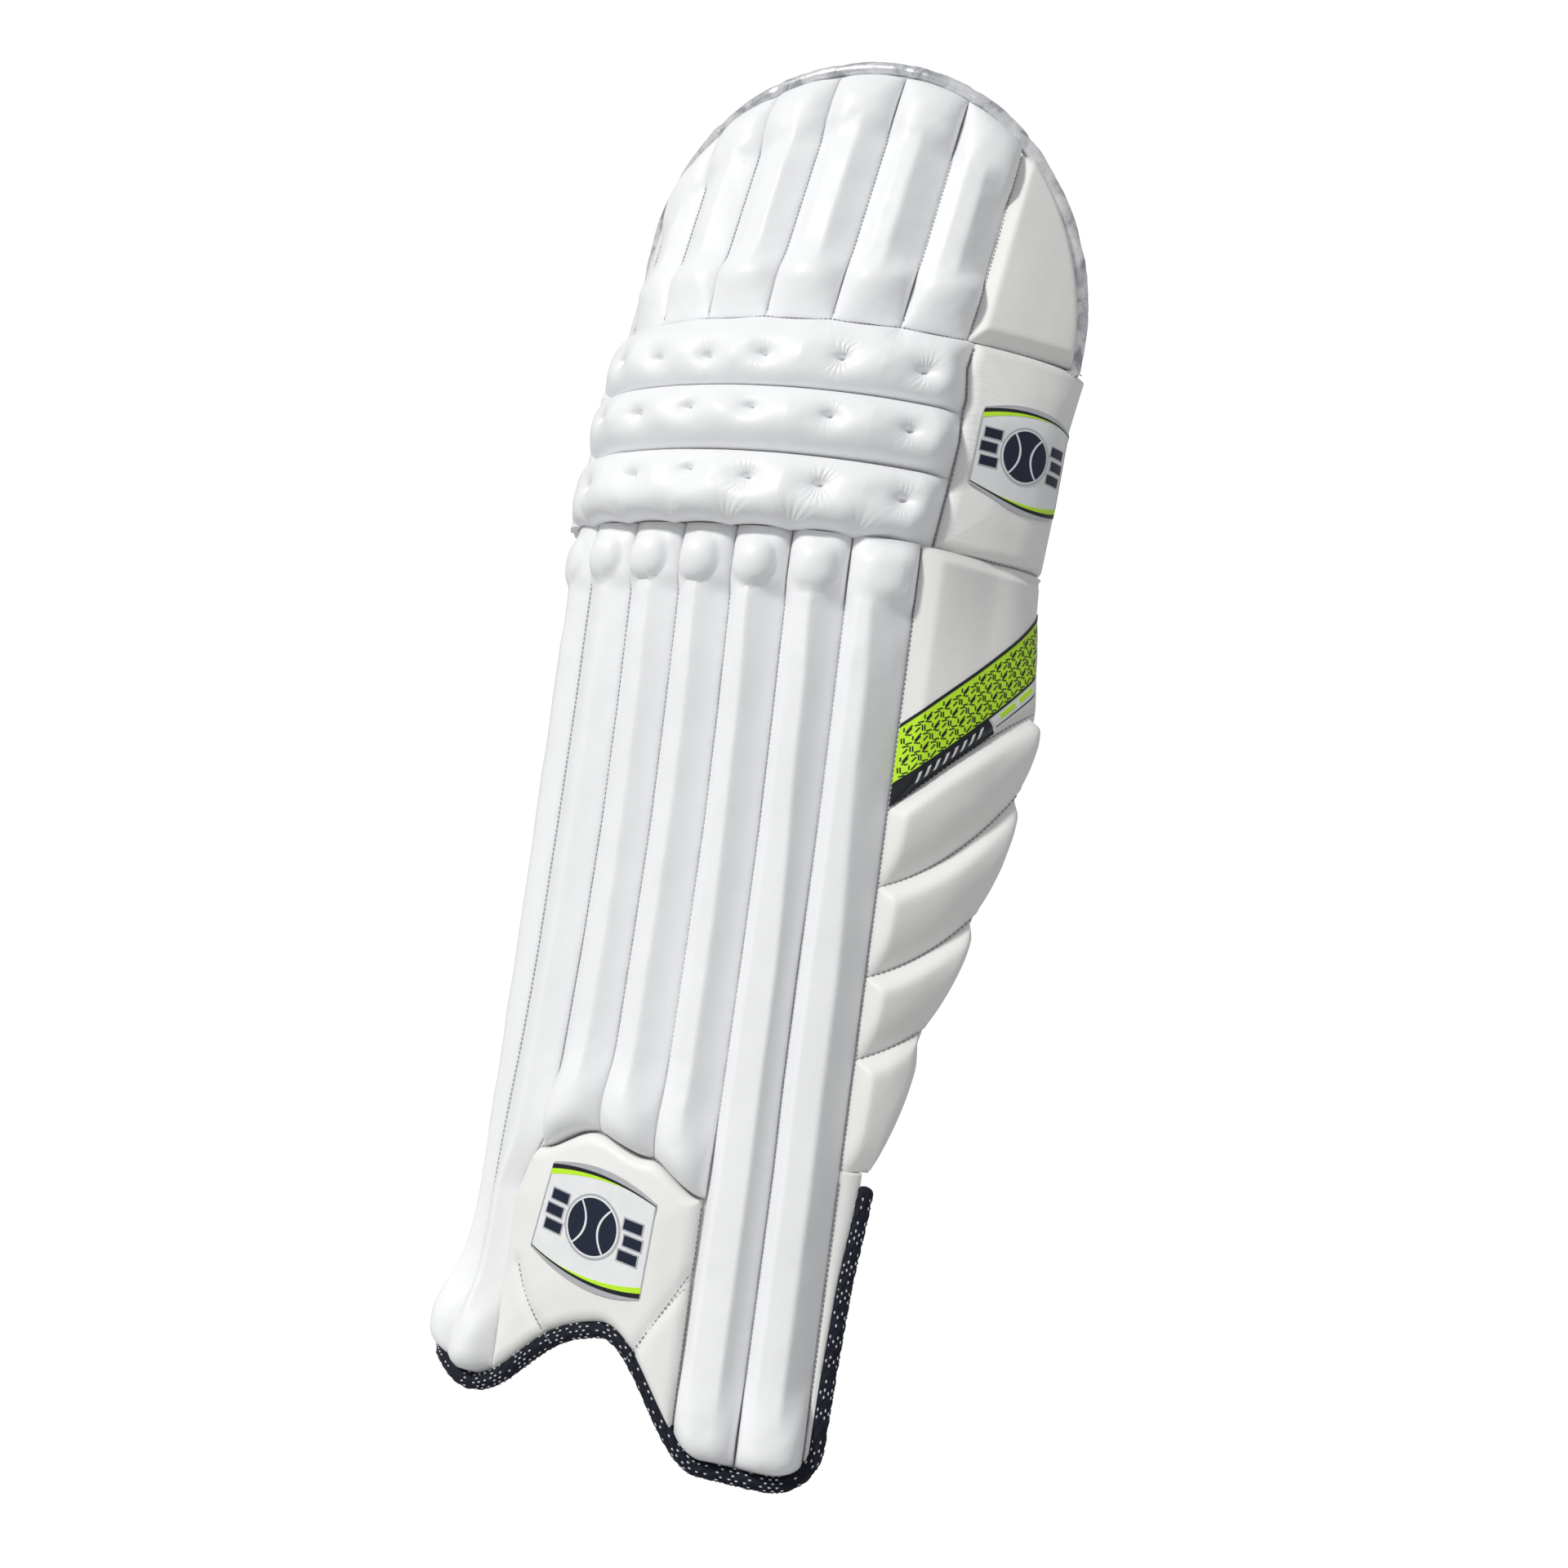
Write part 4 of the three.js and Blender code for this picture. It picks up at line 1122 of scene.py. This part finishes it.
# Silver binding: a crinkled tube flattened over the edge of the top hat, ending straight down
BINDING_SIDES = 22
BINDING_TAIL = 3.6
turn = np.radians(np.linspace(-88.5, 91.5, 560))
past = turn > math.pi / 2
reach = np.where(turn > 0, HAT_OUTER_REACH, HAT_INNER_REACH)
edge_s = HAT_CENTRE + reach * np.sin(turn)
tail_w = -BINDING_TAIL * (turn - math.pi / 2) / math.radians(1.5)
edge_w = np.where(past, tail_w, hat_outline(edge_s))
edge_s = np.where(past, HAT_CENTRE + HAT_OUTER_REACH - 1.5, edge_s)
line, even = evened(np.stack([edge_s, edge_w], -1), 0.8)
ahead = unit(np.gradient(line, axis=0))
sideways = np.stack([-ahead[:, 1], ahead[:, 0]], -1)
wide = 3.9 + 0.5 * smooth(even / even[-1], 0.45, 0.8)
pinch = sum(bell(line[:, 0] - hat_seam(k, 130), 3.2) * (line[:, 1] > 60) for k in range(7))
A, E = np.meshgrid(turns(BINDING_SIDES), even)
spot = np.stack([E, A * 9], -1)
crinkle = 0.2 * noise(spot * [1, 0.3], 4.5, 81) + 0.08 * noise(spot, 2.1, 82) + 0.3 * noise(spot, 9, 83)
size = ((1 - 0.13 * pinch) * blunt_ends(even, 3, 0.02))[:, None]
across = np.cos(A) * (wide[:, None] + crinkle) * size
S = line[:, :1] + sideways[:, :1] * across
W = line[:, 1:] + sideways[:, 1:] * across
obj = loft("silver_binding_tape", hat(S, W, np.sin(A) * (4.2 + crinkle) * size - 0.2))
attach(obj, HAT_FOLD, SILVER, ["top_binding"])

# ---------------------------------------------------------------- calf wing

# The wing's back edge at each step: how far it swells out, and how far its top corner is cut back
WING_SWELL = [3.5, 5.0, 5.5, 3.6]
WING_CORNER = [3.0, 3.0, 3.0, 5.5]


def wing_back(share, i):
    corner = WING_CORNER[i] * smooth(share, 0.7, 1.0)
    swell = WING_SWELL[i] * np.sin(np.pi * share) ** 0.9
    return mix(WING_EDGE[i], WING_EDGE[i + 1], share) + swell - corner


def wing_step(i):
    U, V = grid(steps(0, 1, 0.016), steps(0, 1, 0.016))
    back = wing_back(V, i)
    S = mix(WING_FRONT, back, U)
    low, high = wing_seam(i, S) + 0.15, wing_seam(i + 1, S) - 0.15
    Z = mix(low, high, V)
    slope = soft_min(bevel(S - WING_FRONT, 8.0, 0.18), bevel(high - Z, 9.5, 0.45), 0.2)
    slope = soft_min(slope, bevel(Z - low, 17.0, 0.8), 0.5)
    slope = soft_min(slope, rounded(back - S, 13), 0.2)
    lean = mix(0.84, 1.06, smooth(V, 0.1, 0.8)) * mix(1, 0.72, U)
    lumps = 0.3 * noise(np.stack([S, Z], -1), 15, 90 + i)
    N = 1.2 + 10.2 * np.clip(slope, 0, 1) * lean + lumps
    N = N * (1 - 0.4 * smooth(U, 0.5, 1) * smooth(V, 0.5, 1))
    obj = cover(f"wing_step_cover_{4 - i}", wing, S, Z, N, SKIN)
    attach(obj, "outer_wing", IVORY, [f"wing_bolster_{4 - i}"])


for i in range(4):
    wing_step(i)
    if i > 0:
        s = steps(WING_SEAM + 1.5, WING_EDGE[i] - 2, 2)
        seam("wing", wing, s, wing_seam(i, s), 1.6, pitch=2.8)


def upper_height(s, z):
    """Height of the wing's upper panel: bevelled all round, thinner towards the back."""
    slope = soft_min(bevel(s - WING_FRONT, 10.5, 0.12), (SHIN_TOP - 0.4 - z) / 6.5, 0.1)
    slope = soft_min(slope, bevel(z - wing_seam(4, s), 7.0, 0.4), 0.2)
    slope = soft_min(slope, rounded(WING_EDGE[4] - 1.5 - s, 8), 0.15)
    lumps = 0.15 * noise(np.stack([s, z], -1), 20, 95)
    thin = 3.6 * smooth(s, 134, 182) * smooth(slope, 0, 0.5)
    return 1.2 + 5.0 * np.clip(slope, 0, 1) + lumps - thin


def wing_upper(s, z, n):
    return wing(s, z, n + upper_height(np.asarray(s, float), np.asarray(z, float)))


U, V = grid(steps(0, 1, 0.012), steps(0, 1, 0.012))
S = mix(WING_FRONT, WING_EDGE[4] - 2.5 + np.sin(np.pi * V), U)
Z = mix(wing_seam(4, S) + 0.15, SHIN_TOP - 0.4, V)
obj = cover("wing_upper_cover", wing, S, Z, upper_height(S, Z), SKIN)
attach(obj, "outer_wing", IVORY, ["wing_upper_panel"])
s = steps(WING_SEAM + 1.5, WING_EDGE[4] - 3, 2)
seam("wing", wing, s, wing_seam(4, s), 1.8, pitch=2.8)

U, V = grid(steps(0, 1, 0.02), steps(0, 1, 0.01))
Z = mix(WING_FOOT + 1.5, SHIN_TOP - 0.6, V)
back_edge = np.interp(Z, [wing_seam(i, s) for i, s in enumerate(WING_EDGE)], WING_EDGE)
S = mix(WING_SEAM + 0.5, back_edge - 0.4, U)
d = edge_distance(shin(S, Z, 0))
obj = cover("wing_board", wing, S, Z, -0.1, -1.6 - 4.2 * rounded(d, 5), reach=2.0)
attach(obj, "outer_wing", IVORY, ["outer_wing_backing"])

# ---------------------------------------------------------------- printed band and badges

# Printed shapes are gathered by the piece they belong to.
print_sets = {}


def decal(piece, surface, rows, high, low):
    """A thin printed shape: rows of (s, z) points laid on a surface between two heights."""
    rows = np.asarray(rows, float)
    s, z = rows[..., 0], rows[..., 1]
    print_sets.setdefault(piece, []).append((surface(s, z, high), surface(s, z, low)))


def make_decals(piece, body, material, replaces=()):
    points, faces, count = [], [], 0
    for front, back in print_sets.pop(piece):
        shape = np.concatenate([front.reshape(-1, 3), back.reshape(-1, 3)])
        quads = shell_faces(*front.shape[:2])
        if enclosed(shape, quads) < 0:
            quads = quads[:, ::-1]
        points.append(shape)
        faces += (quads + count).tolist()
        count += len(shape)
    obj = finish_mesh(piece, np.concatenate(points), faces)
    attach(obj, body, material, replaces)


BAND_START, BAND_END = 110.0, WING_EDGE[4] - 3.5
BAND = (BAND_START, BAND_END)


def band_z(s, down):
    """The band slants upwards; down is the distance below its upper edge."""
    along = s - WING_SEAM
    return 374 + 0.95 * along - down * (1 + 0.0015 * along)


def band_shape(colour, sides, top, bottom, high, low=-0.8, count=60, slant=(0, 0)):
    rows = []
    for share in np.linspace(0, 1, 9):
        s = np.linspace(sides[0] + slant[0] * share, sides[1] + slant[1] * share, count)
        rows.append(np.stack([s, band_z(s, mix(top, bottom, share))], -1))
    decal(f"band_print_{colour}", wing_upper, rows, high, low)


band_shape("neon", BAND, 1.2, 29.5, 0.45)
band_shape("black", BAND, -0.4, 1.5, 0.6)
band_shape("black", BAND, 28.9, 30.3, 0.6)
band_shape("black", (BAND_START, 154.0), 30.0, 40.8, 0.5, slant=(0, 6.5))
band_shape("white", (154.8, BAND_END), 30.2, 38.0, 0.45, slant=(5.0, 0))
for s in (160.5, 171.5):
    band_shape("neon", (s, s + 8.6), 32.0, 35.0, 0.65, 0.2, 8, (1.2, 1.2))
band_shape("black", (160.4, BAND_END), 37.4, 38.3, 0.55, -0.6)
for s in np.arange(121.0, 151.0, 4.2):
    band_shape("white", (s, s + 1.5), 32.2, 36.8, 0.7, 0.3, 4, (-0.9, -0.9))

# The band's pattern: a lattice of six-sided rings, each with three spokes
CELL = 8.4


def band_line(start, end, wide):
    low, high = np.minimum(start, end), np.maximum(start, end)
    if low[0] > BAND_START + 0.6 and high[0] < BAND_END - 0.6 and low[1] > 1.6 and high[1] < 28.8:
        s, down = np.linspace(start, end, 3).T
        line = np.stack([s, band_z(s, down)], -1)
        ahead = unit(np.gradient(line, axis=0))
        side = np.stack([-ahead[:, 1], ahead[:, 0]], -1) * wide / 2
        decal("band_print_black", wing_upper, [line - side, line + side], 0.62, 0.3)


def around(centre, radius, degrees):
    a = math.radians(degrees)
    return centre + CELL * radius * np.array([math.cos(a), math.sin(a)])


for row in range(-1, 6):
    for column in range(-1, 12):
        centre = np.array([112 + (column + 0.5 * (row % 2)) * CELL, 2.4 + row * CELL * 0.866])
        for side in range(6):
            turned = 60 * side + 30
            band_line(around(centre, 0.47, turned + 2), around(centre, 0.47, turned + 46), 0.62)
            if side % 2:
                band_line(around(centre, 0.1, turned), around(centre, 0.34, turned), 0.6)

make_decals("band_print_neon", "outer_wing", NEON, ["wing_band"])
make_decals("band_print_black", "outer_wing", BLACK)
make_decals("band_print_white", "outer_wing", PRINT_WHITE)

BADGE_BOW = 4.4
BADGE_PRINTS = {
    "white": PRINT_WHITE, "silver": PRINT_SILVER, "black": BLACK, "neon": NEON, "navy": NAVY,
}


def badge(node, body, surface, centre, size, cant, n, sag, flare=0.0):
    """A patch with bowed ends, a silver edge, a stripe above and below, and a plain ball mark."""
    half_w, half_h = size[0] / 2, size[1] / 2

    def lay(colour, high, low, *lines):
        rows = []
        for x, y in lines:
            x, y = arrays(x, y)
            x = x - flare * (y / half_h) * (x / half_w + 1) / 2
            rows.append(np.stack([centre[0] + x - y * cant[1], centre[1] + y + x * cant[0]], -1))
        decal(f"{node}_{colour}", surface, rows, n + high, n + low)

    x = np.linspace(-half_w, half_w, 36)
    fade = (x + half_w) / (2 * half_w)
    top = half_h - 4 + BADGE_BOW * (1 - (x / half_w) ** 2)
    foot = -top - sag * smooth(fade, 0, 1)
    lay("white", 0.35, -2.2, *((x, mix(foot, top, t)) for t in np.linspace(0, 1, 14)))
    silver = 1.0 + 1.8 * np.sin(np.pi * fade)
    for edge, out, share in ((top, 1, fade), (foot, -1, 1 - fade)):
        black = 0.35 + 1.9 * (1 - share)
        neon = 0.3 + 4.8 * np.clip(1 - 1.3 * share, 0, 1) ** 0.8
        lay("silver", 0.5, -0.5, (x, edge - out * 0.2), (x, edge + out * silver))
        lay("black", 0.6, -0.5, (x, edge - out * black), (x, edge + out * 0.1))
        lay("neon", 0.55, -0.5, (x, edge - out * neon), (x, edge - out * black))
    for side, low in ((-1, foot[0]), (1, foot[-1])):
        edge, y = side * half_w, np.linspace(low, top[0], 14)
        lay("silver", 0.5, -2, (edge - side * 0.35, y), (edge + side * 0.35, y))

    # the mark: a ball with two curved seams between pairs of bars
    turn = np.linspace(0, 2 * math.pi, 49)
    for radius, colour, lift in ((15.4, "silver", 0.55), (14.3, "white", 0.62), (13.4, "navy", 0.75)):
        radii = (radius * 0.02, radius * 0.5, radius)
        lay(colour, lift, -0.3, *((np.cos(turn) * r, np.sin(turn) * r) for r in radii))
    for side in (-1, 1):
        y = np.linspace(-10.6, 10.6, 17)
        bend = side * (3.6 + 4.8 * (y / 10.6) ** 2)
        lay("white", 0.95, 0.5, (bend - 0.55, y), (bend + 0.55, y))
        for level, long in ((7.4, 8.4), (0, 9.4), (-7.4, 8.4)):
            inner, outer = side * (17.6 - 0.2 * abs(level)), side * (17.4 + long)
            for grow, colour, lift in ((0.75, "silver", 0.55), (0, "navy", 0.75)):
                bar = np.linspace(inner - side * grow, outer + side * grow, 5)
                lay(colour, lift, -0.3, (bar, level - 2.4 - grow), (bar, level + 2.4 + grow))
    for colour, material in BADGE_PRINTS.items():
        make_decals(f"{node}_{colour}", body, material, [node] if colour == "white" else [])


badge("instep_badge", "shin", shin, (-6.1, 111.5), (60.8, 49), (-0.185, -0.17), 8.0, 2.5, 3.0)
badge("knee_badge", WING_FOLD, knee_side, (157, 521.5), (58, 47), (-0.01, -0.03), 7.3, 6)

# ---------------------------------------------------------------- rope along the lower edge

ROPE_RISE = 3.6
ROPE_STEP = 0.5
ROPE_SIDES = 40
CARRIERS, LAY = 6, 9.0
FLECK_COLUMNS = 7

corner_reach = CORNER_RADIUS - ROPE_RISE
corner = np.radians(np.linspace(0, 90, 16))
corner_z = CORNER_Z + CORNER_RADIUS - corner_reach * np.cos(corner)
along_s = np.arange(INNER_EDGE + 1, CORNER_S, 2.0)
up_z = np.arange(30, WING_FOOT - 3, 3.0)
s = np.concatenate([
    along_s, CORNER_S + corner_reach * np.sin(corner), np.full(len(up_z), CORNER_S + corner_reach),
])
z = np.concatenate([lower_edge(along_s) + ROPE_RISE, corner_z, up_z])
s = s + np.where(s > CORNER_S, rope_spread(z), 0)
lift = 10 * (1 - smooth(s, -112, -50)) * smooth(s, -156, -120) - 0.2
route, even = evened(shin(s, z, lift), ROPE_STEP)
route = eased_path(route, 17)
tangent = unit(np.gradient(route, axis=0))
normal, normals = np.array([0.0, -1.0, 0.0]), []
for t in tangent:
    normal = unit(normal - t * (normal @ t))
    normals.append(normal)
normals = np.array(normals)
sideways = np.cross(tangent, normals)

# the braid: two sets of strands crossing, each in turn on top
A, E = np.meshgrid(turns(ROPE_SIDES), even)
right_hand = A / (2 * math.pi) * CARRIERS + E / LAY
left_hand = A / (2 * math.pi) * CARRIERS - E / LAY
braid = np.abs(np.sin(math.pi * right_hand) * np.sin(math.pi * left_hand))
over = np.cos(math.pi * (np.floor(right_hand) + np.floor(left_hand)))
radius = 3.75 + 0.7 * braid**0.6 + 0.1 * over + 0.1 * noise(np.stack([E, A * 3.4], -1), 1.3, 7)
radius *= blunt_ends(even, 2.5, 0.03)[:, None]
way = np.cos(A)[..., None] * normals[:, None] + np.sin(A)[..., None] * sideways[:, None]
obj = loft("edge_rope_braid", route[:, None] + radius[..., None] * way, 80)
attach(obj, "shin", ROPE_YARN, ["edge_rope"])

for i, e in enumerate(np.arange(3, even[-1] - 2, 1.9)):
    k = int(e / ROPE_STEP)
    for j in range(FLECK_COLUMNS):
        a = 2 * math.pi * (j + 0.5 * (i % 2)) / FLECK_COLUMNS
        way = math.cos(a) * normals[k] + math.sin(a) * sideways[k]
        path = route[k] + way * 4.35 + tangent[k] * np.array([[-1.1], [0], [1.1]])
        stitches("flecks", path, np.stack([way] * 3), pitch=2.2, length=1.5, thick=0.36)

# ---------------------------------------------------------------- inside: lining, cushions, knee cup

U, V = grid(steps(0, 1, 0.02), steps(0, 1, 0.012))
S = mix(-100.0, 100.0, U)
Z = mix(lower_edge(S) + 12, 455.0, V)
quilt = 0.22 * noise(np.stack([S, Z], -1), 9, 55)
obj = cover("shin_lining_cloth", shin, S, Z, -BOARD - 0.2, -BOARD - 1.2 + quilt, 0.2, 2.0)
attach(obj, "shin", LINING, ["shin_lining"])

PAD_VOXEL = 5
PAD_PRESSURE = 4
PAD_FRAMES = 20
CUSHION_FRONT = -BOARD - 2.0
CUSHION_WIDTH = 48
FLAT_BACK_Y = span("inner_bolster_centre", 1)[1]


def block(name, surface, s, z, front, depth, edge):
    """A closed block on the leg's side of the board, rounded at the edges of its back."""
    back = front - 1 - depth * rounded(edge_distance(surface(s, z, 0)), edge)
    return slab(name, surface(s, z, front), surface(s, z, back))


def points_of(obj):
    return np.array([v.co for v in obj.data.vertices])


def swollen(obj, before, cap):
    """The points of a closed piece after cloth pressure, each moved by cap millimetres at most."""
    modifier = obj.modifiers.new("swell", "CLOTH")
    settings, cache = modifier.settings, modifier.point_cache
    settings.use_pressure = True
    settings.uniform_pressure_force = PAD_PRESSURE
    settings.effector_weights.gravity = 0
    settings.quality = 6
    settings.mass = 0.3
    cache.frame_start, cache.frame_end = 1, PAD_FRAMES
    for frame_number in range(1, PAD_FRAMES + 1):
        bpy.context.scene.frame_set(frame_number)
    move = points_of(obj.evaluated_get(bpy.context.evaluated_depsgraph_get())) - before
    obj.modifiers.remove(modifier)
    bpy.context.scene.frame_set(1)
    far = np.linalg.norm(move, axis=1)[:, None]
    return before + move * np.minimum(1, cap * MM / np.maximum(far, 1e-9))


def simulated(obj, cap, hold=None):
    """Swells a closed piece with cloth pressure, keeps it where hold says, and smooths it."""
    bpy.context.view_layer.objects.active = obj
    for other in bpy.context.selected_objects:
        other.select_set(False)
    obj.select_set(True)
    remesh = obj.modifiers.new("remesh", "REMESH")
    remesh.mode = "VOXEL"
    remesh.voxel_size = PAD_VOXEL * MM
    bpy.ops.object.modifier_apply(modifier="remesh")
    before = points_of(obj)
    after = swollen(obj, before, cap)
    if hold is not None:
        after = hold(after / MM) * MM
    obj.data.vertices.foreach_set("co", after.ravel())
    obj.data.update()
    subdivide = obj.modifiers.new("smooth", "SUBSURF")
    subdivide.levels = subdivide.render_levels = 1
    bpy.ops.object.modifier_apply(modifier="smooth")
    obj.data.polygons.foreach_set("use_smooth", [True] * len(obj.data.polygons))


def keep_cushion(points, middle):
    """Holds a shin cushion behind the lining, within its width and height."""
    x, y, z = points.T
    axis_y = SHIN_FRONT_Y + SHIN_RADIUS
    limit = SHIN_RADIUS + CUSHION_FRONT + 0.3
    scale = np.minimum(1, limit / np.maximum(np.hypot(x, y - axis_y), 1e-6))
    x, y = x * scale, axis_y + (y - axis_y) * scale
    if middle == 0:
        y = np.minimum(y, FLAT_BACK_Y)
    half = CUSHION_WIDTH / 2 + 0.6
    s = np.clip(np.arctan2(x, axis_y - y) * SHIN_RADIUS, middle - half, middle + half)
    r = np.hypot(x, y - axis_y)
    x, y = r * np.sin(s / SHIN_RADIUS), axis_y - r * np.cos(s / SHIN_RADIUS)
    return np.stack([x, y, np.clip(z, 95.5, 444.5)], -1)


U, V = grid(steps(0, 1, 0.07), steps(0, 1, 0.02))
for part, middle in (("centre", 0), ("outer", 50), ("inner", -50)):
    S, Z = middle + (U - 0.5) * (CUSHION_WIDTH - 5), mix(99.0, 441.0, V)
    obj = block(f"inner_cushion_{part}", shin, S, Z, CUSHION_FRONT - 1, 10, 12)
    simulated(obj, 7, lambda points: keep_cushion(points, middle))
    attach(obj, "shin", LINING, [f"inner_bolster_{part}"])

U, V = grid(steps(0, 1, 0.035), steps(0, 1, 0.05))
S, Z = mix(-69.0, 69.0, U), mix(SHIN_TOP + 11, HAT_BASE - 9, V)
dish = 9 * np.sin(np.pi * U) * np.sin(np.pi * V)
obj = block("knee_cup_pad", knee, S, Z, -BOARD - 2, 13 - dish, 10)
simulated(obj, 5)
attach(obj, "shin", LINING, ["knee_cup"])

U, V = grid(steps(0, 1, 0.03), steps(0, 1, 0.04))
S = mix(-85.0, 93.0, U)
W = mix(19.0, hat_outline(S) - 21, V)
obj = block("top_hat_pad_cover", hat, S, W, -BOARD - 1.4, 6.5, 9)
simulated(obj, 4)
attach(obj, HAT_FOLD, LINING, ["top_hat_pad"])

# ---------------------------------------------------------------- straps and the CAD's own shapes

STRAP_THICK = 2.3
FACE_GAP = 4.5
END_REACH = 14


def middle_line(points):
    """A band's middle line in plan, in order, from points along its two faces."""
    used, middle = set(), []
    for i, p in enumerate(points):
        if i in used:
            continue
        gaps = np.linalg.norm(points - p, axis=1)
        gaps[list(used) + [i]] = np.inf
        j = int(gaps.argmin())
        if gaps[j] < FACE_GAP:
            used.update((i, j))
            middle.append((p + points[j]) / 2)
    middle = np.array(middle)
    near = [(np.linalg.norm(middle - m, axis=1) < END_REACH).sum() for m in middle]
    here = next((k for k, count in enumerate(near) if count <= 2), 0)
    order, left = [here], set(range(len(middle))) - {here}
    while left:
        here = min(left, key=lambda k: np.linalg.norm(middle[k] - middle[order[-1]]))
        order.append(here)
        left.discard(here)
    return middle[order]


def strap_cover(node, material):
    """Webbing over a CAD band: the band's middle line in plan, with rolled edges."""
    points = points_of(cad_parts[node]) / MM
    low, high = points[:, 2].min(), points[:, 2].max()
    foot = points[points[:, 2] < (low + high) / 2]
    line, even = evened(middle_line(np.unique(np.round(foot[:, :2], 3), axis=0)), 1.1)
    line = eased_path(line, 25 if even[-1] > 100 else 9)
    ahead = unit(np.gradient(line, axis=0))
    out = np.stack([ahead[:, 1], -ahead[:, 0]], 1)
    V, E = np.meshgrid(0.5 - 0.5 * np.cos(np.pi * np.linspace(0, 1, 30)), even, indexing="ij")
    edge = rounded(np.minimum(V, 1 - V) * (high - low), 1.2)
    ripple = 0.12 * noise(np.stack([E, V * 38], -1), 11, 3)
    sides = []
    for sign in (1, -1):
        n = sign * STRAP_THICK / 2 * mix(0.35, 1, edge) + ripple
        xy = line + out * n[..., None]
        sides.append(np.concatenate([xy, mix(low, high, V)[..., None]], -1))
    obj = slab(node + "_cover", *sides, np.stack([E, V * (high - low)], -1), 0.3)
    attach(obj, node, material, [node])


for part in ("knee", "calf", "ankle"):
    strap_cover(f"{part}_strap", WEBBING)
    strap_cover(f"{part}_tab", HOOK)

# The loop patches and canes keep the CAD's shapes
for node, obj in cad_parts.items():
    if node.endswith("_loop_patch") or node.startswith("shin_cane"):
        obj.data.materials.clear()
        obj.data.materials.append(CANE if node.startswith("shin_cane") else HOOK)

make_stitches("seam_stitches_shin", "shin", "shin", THREAD)
make_stitches("tuft_stitches", "tufts", "shin", DARK_THREAD)
make_stitches("seam_stitches_top_hat", "hat", HAT_FOLD, THREAD)
make_stitches("seam_stitches_knee_side", "knee_side", WING_FOLD, THREAD)
make_stitches("seam_stitches_wing", "wing", "outer_wing", THREAD)
make_stitches("rope_flecks", "flecks", "shin", FLECK)

# ---------------------------------------------------------------- floor, light and camera

FLOOR_HALF = 12.0
SEEN_WHITE = 1.05


def towards(azimuth, elevation):
    """The way to look or shine from, by its angle round and its angle up, in degrees."""
    a, e = math.radians(azimuth), math.radians(elevation)
    return Vector((math.sin(a) * math.cos(e), -math.cos(a) * math.cos(e), math.sin(e)))


def show(tree, lit, seen, output):
    """The camera sees one shader, and the light meets the other."""
    choose = tree.nodes.new("ShaderNodeMixShader")
    ray = tree.nodes.new("ShaderNodeLightPath")
    tree.links.new(ray.outputs["Is Camera Ray"], choose.inputs["Fac"])
    tree.links.new(lit, choose.inputs[1])
    tree.links.new(seen, choose.inputs[2])
    tree.links.new(choose.outputs["Shader"], tree.nodes[output].inputs["Surface"])


def floor():
    mesh = bpy.data.meshes.new("floor")
    corners = [(x * FLOOR_HALF, y * FLOOR_HALF, 0) for x, y in ((-1, -1), (1, -1), (1, 1), (-1, 1))]
    mesh.from_pydata(corners, [], [(0, 1, 2, 3)])
    obj = bpy.data.objects.new("floor", mesh)
    bpy.context.scene.collection.objects.link(obj)
    m = Nodes("floor_paint")
    stops = [(0.3, rgba(0.52, 0.52, 0.52)), (0.7, rgba(0.55, 0.55, 0.55))]
    paint = m.ramp(m.noise(m.place(), 3.0, 3.0), stops)
    glow = m.node("ShaderNodeEmission", Color=rgba(1, 1, 1), Strength=SEEN_WHITE)
    show(m.tree, m.shader.outputs["BSDF"], glow.outputs["Emission"], "Material Output")
    mesh.materials.append(m.use(paint, 0.9))
    obj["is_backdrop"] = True


floor()

light = bpy.data.lights.new("key", "SUN")
light.energy = 2.06
light.angle = math.radians(8)
light.color = (1.0, 0.995, 0.98)
sun = bpy.data.objects.new("key", light)
sun.rotation_euler = towards(-19, 35).to_track_quat("Z", "Y").to_euler()
bpy.context.scene.collection.objects.link(sun)

world = bpy.data.worlds.new("studio")
bpy.context.scene.world = world
world.use_nodes = True
background = world.node_tree.nodes["Background"]
background.inputs["Color"].default_value = (0.965, 0.982, 1.0, 1)
background.inputs["Strength"].default_value = 0.43
seen = world.node_tree.nodes.new("ShaderNodeBackground")
seen.inputs["Color"].default_value = (1, 1, 1, 1)
seen.inputs["Strength"].default_value = SEEN_WHITE
show(world.node_tree, background.outputs[0], seen.outputs[0], "World Output")
bpy.context.scene.view_settings.view_transform = "Standard"

AZIMUTH, ELEVATION, ROLL = 27.3, -5.2, math.radians(7.8)
TARGET, DISTANCE = Vector((0, -0.02, 0.365)), 1.2
back = towards(AZIMUTH, ELEVATION)
right = towards(AZIMUTH + 90, 0)
up = back.cross(right)
across = right * math.cos(ROLL) + up * math.sin(ROLL)
upright = up * math.cos(ROLL) - right * math.sin(ROLL)
lens = bpy.data.cameras.new("camera")
lens.lens = 52.65
lens.sensor_width = 36
lens.shift_x = 0.0308
lens.shift_y = -0.0311
camera = bpy.data.objects.new("camera", lens)
turned = Matrix((across, upright, back)).transposed().to_4x4()
camera.matrix_world = Matrix.Translation(TARGET + back * DISTANCE) @ turned
bpy.context.scene.collection.objects.link(camera)
bpy.context.scene.camera = camera

low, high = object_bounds()
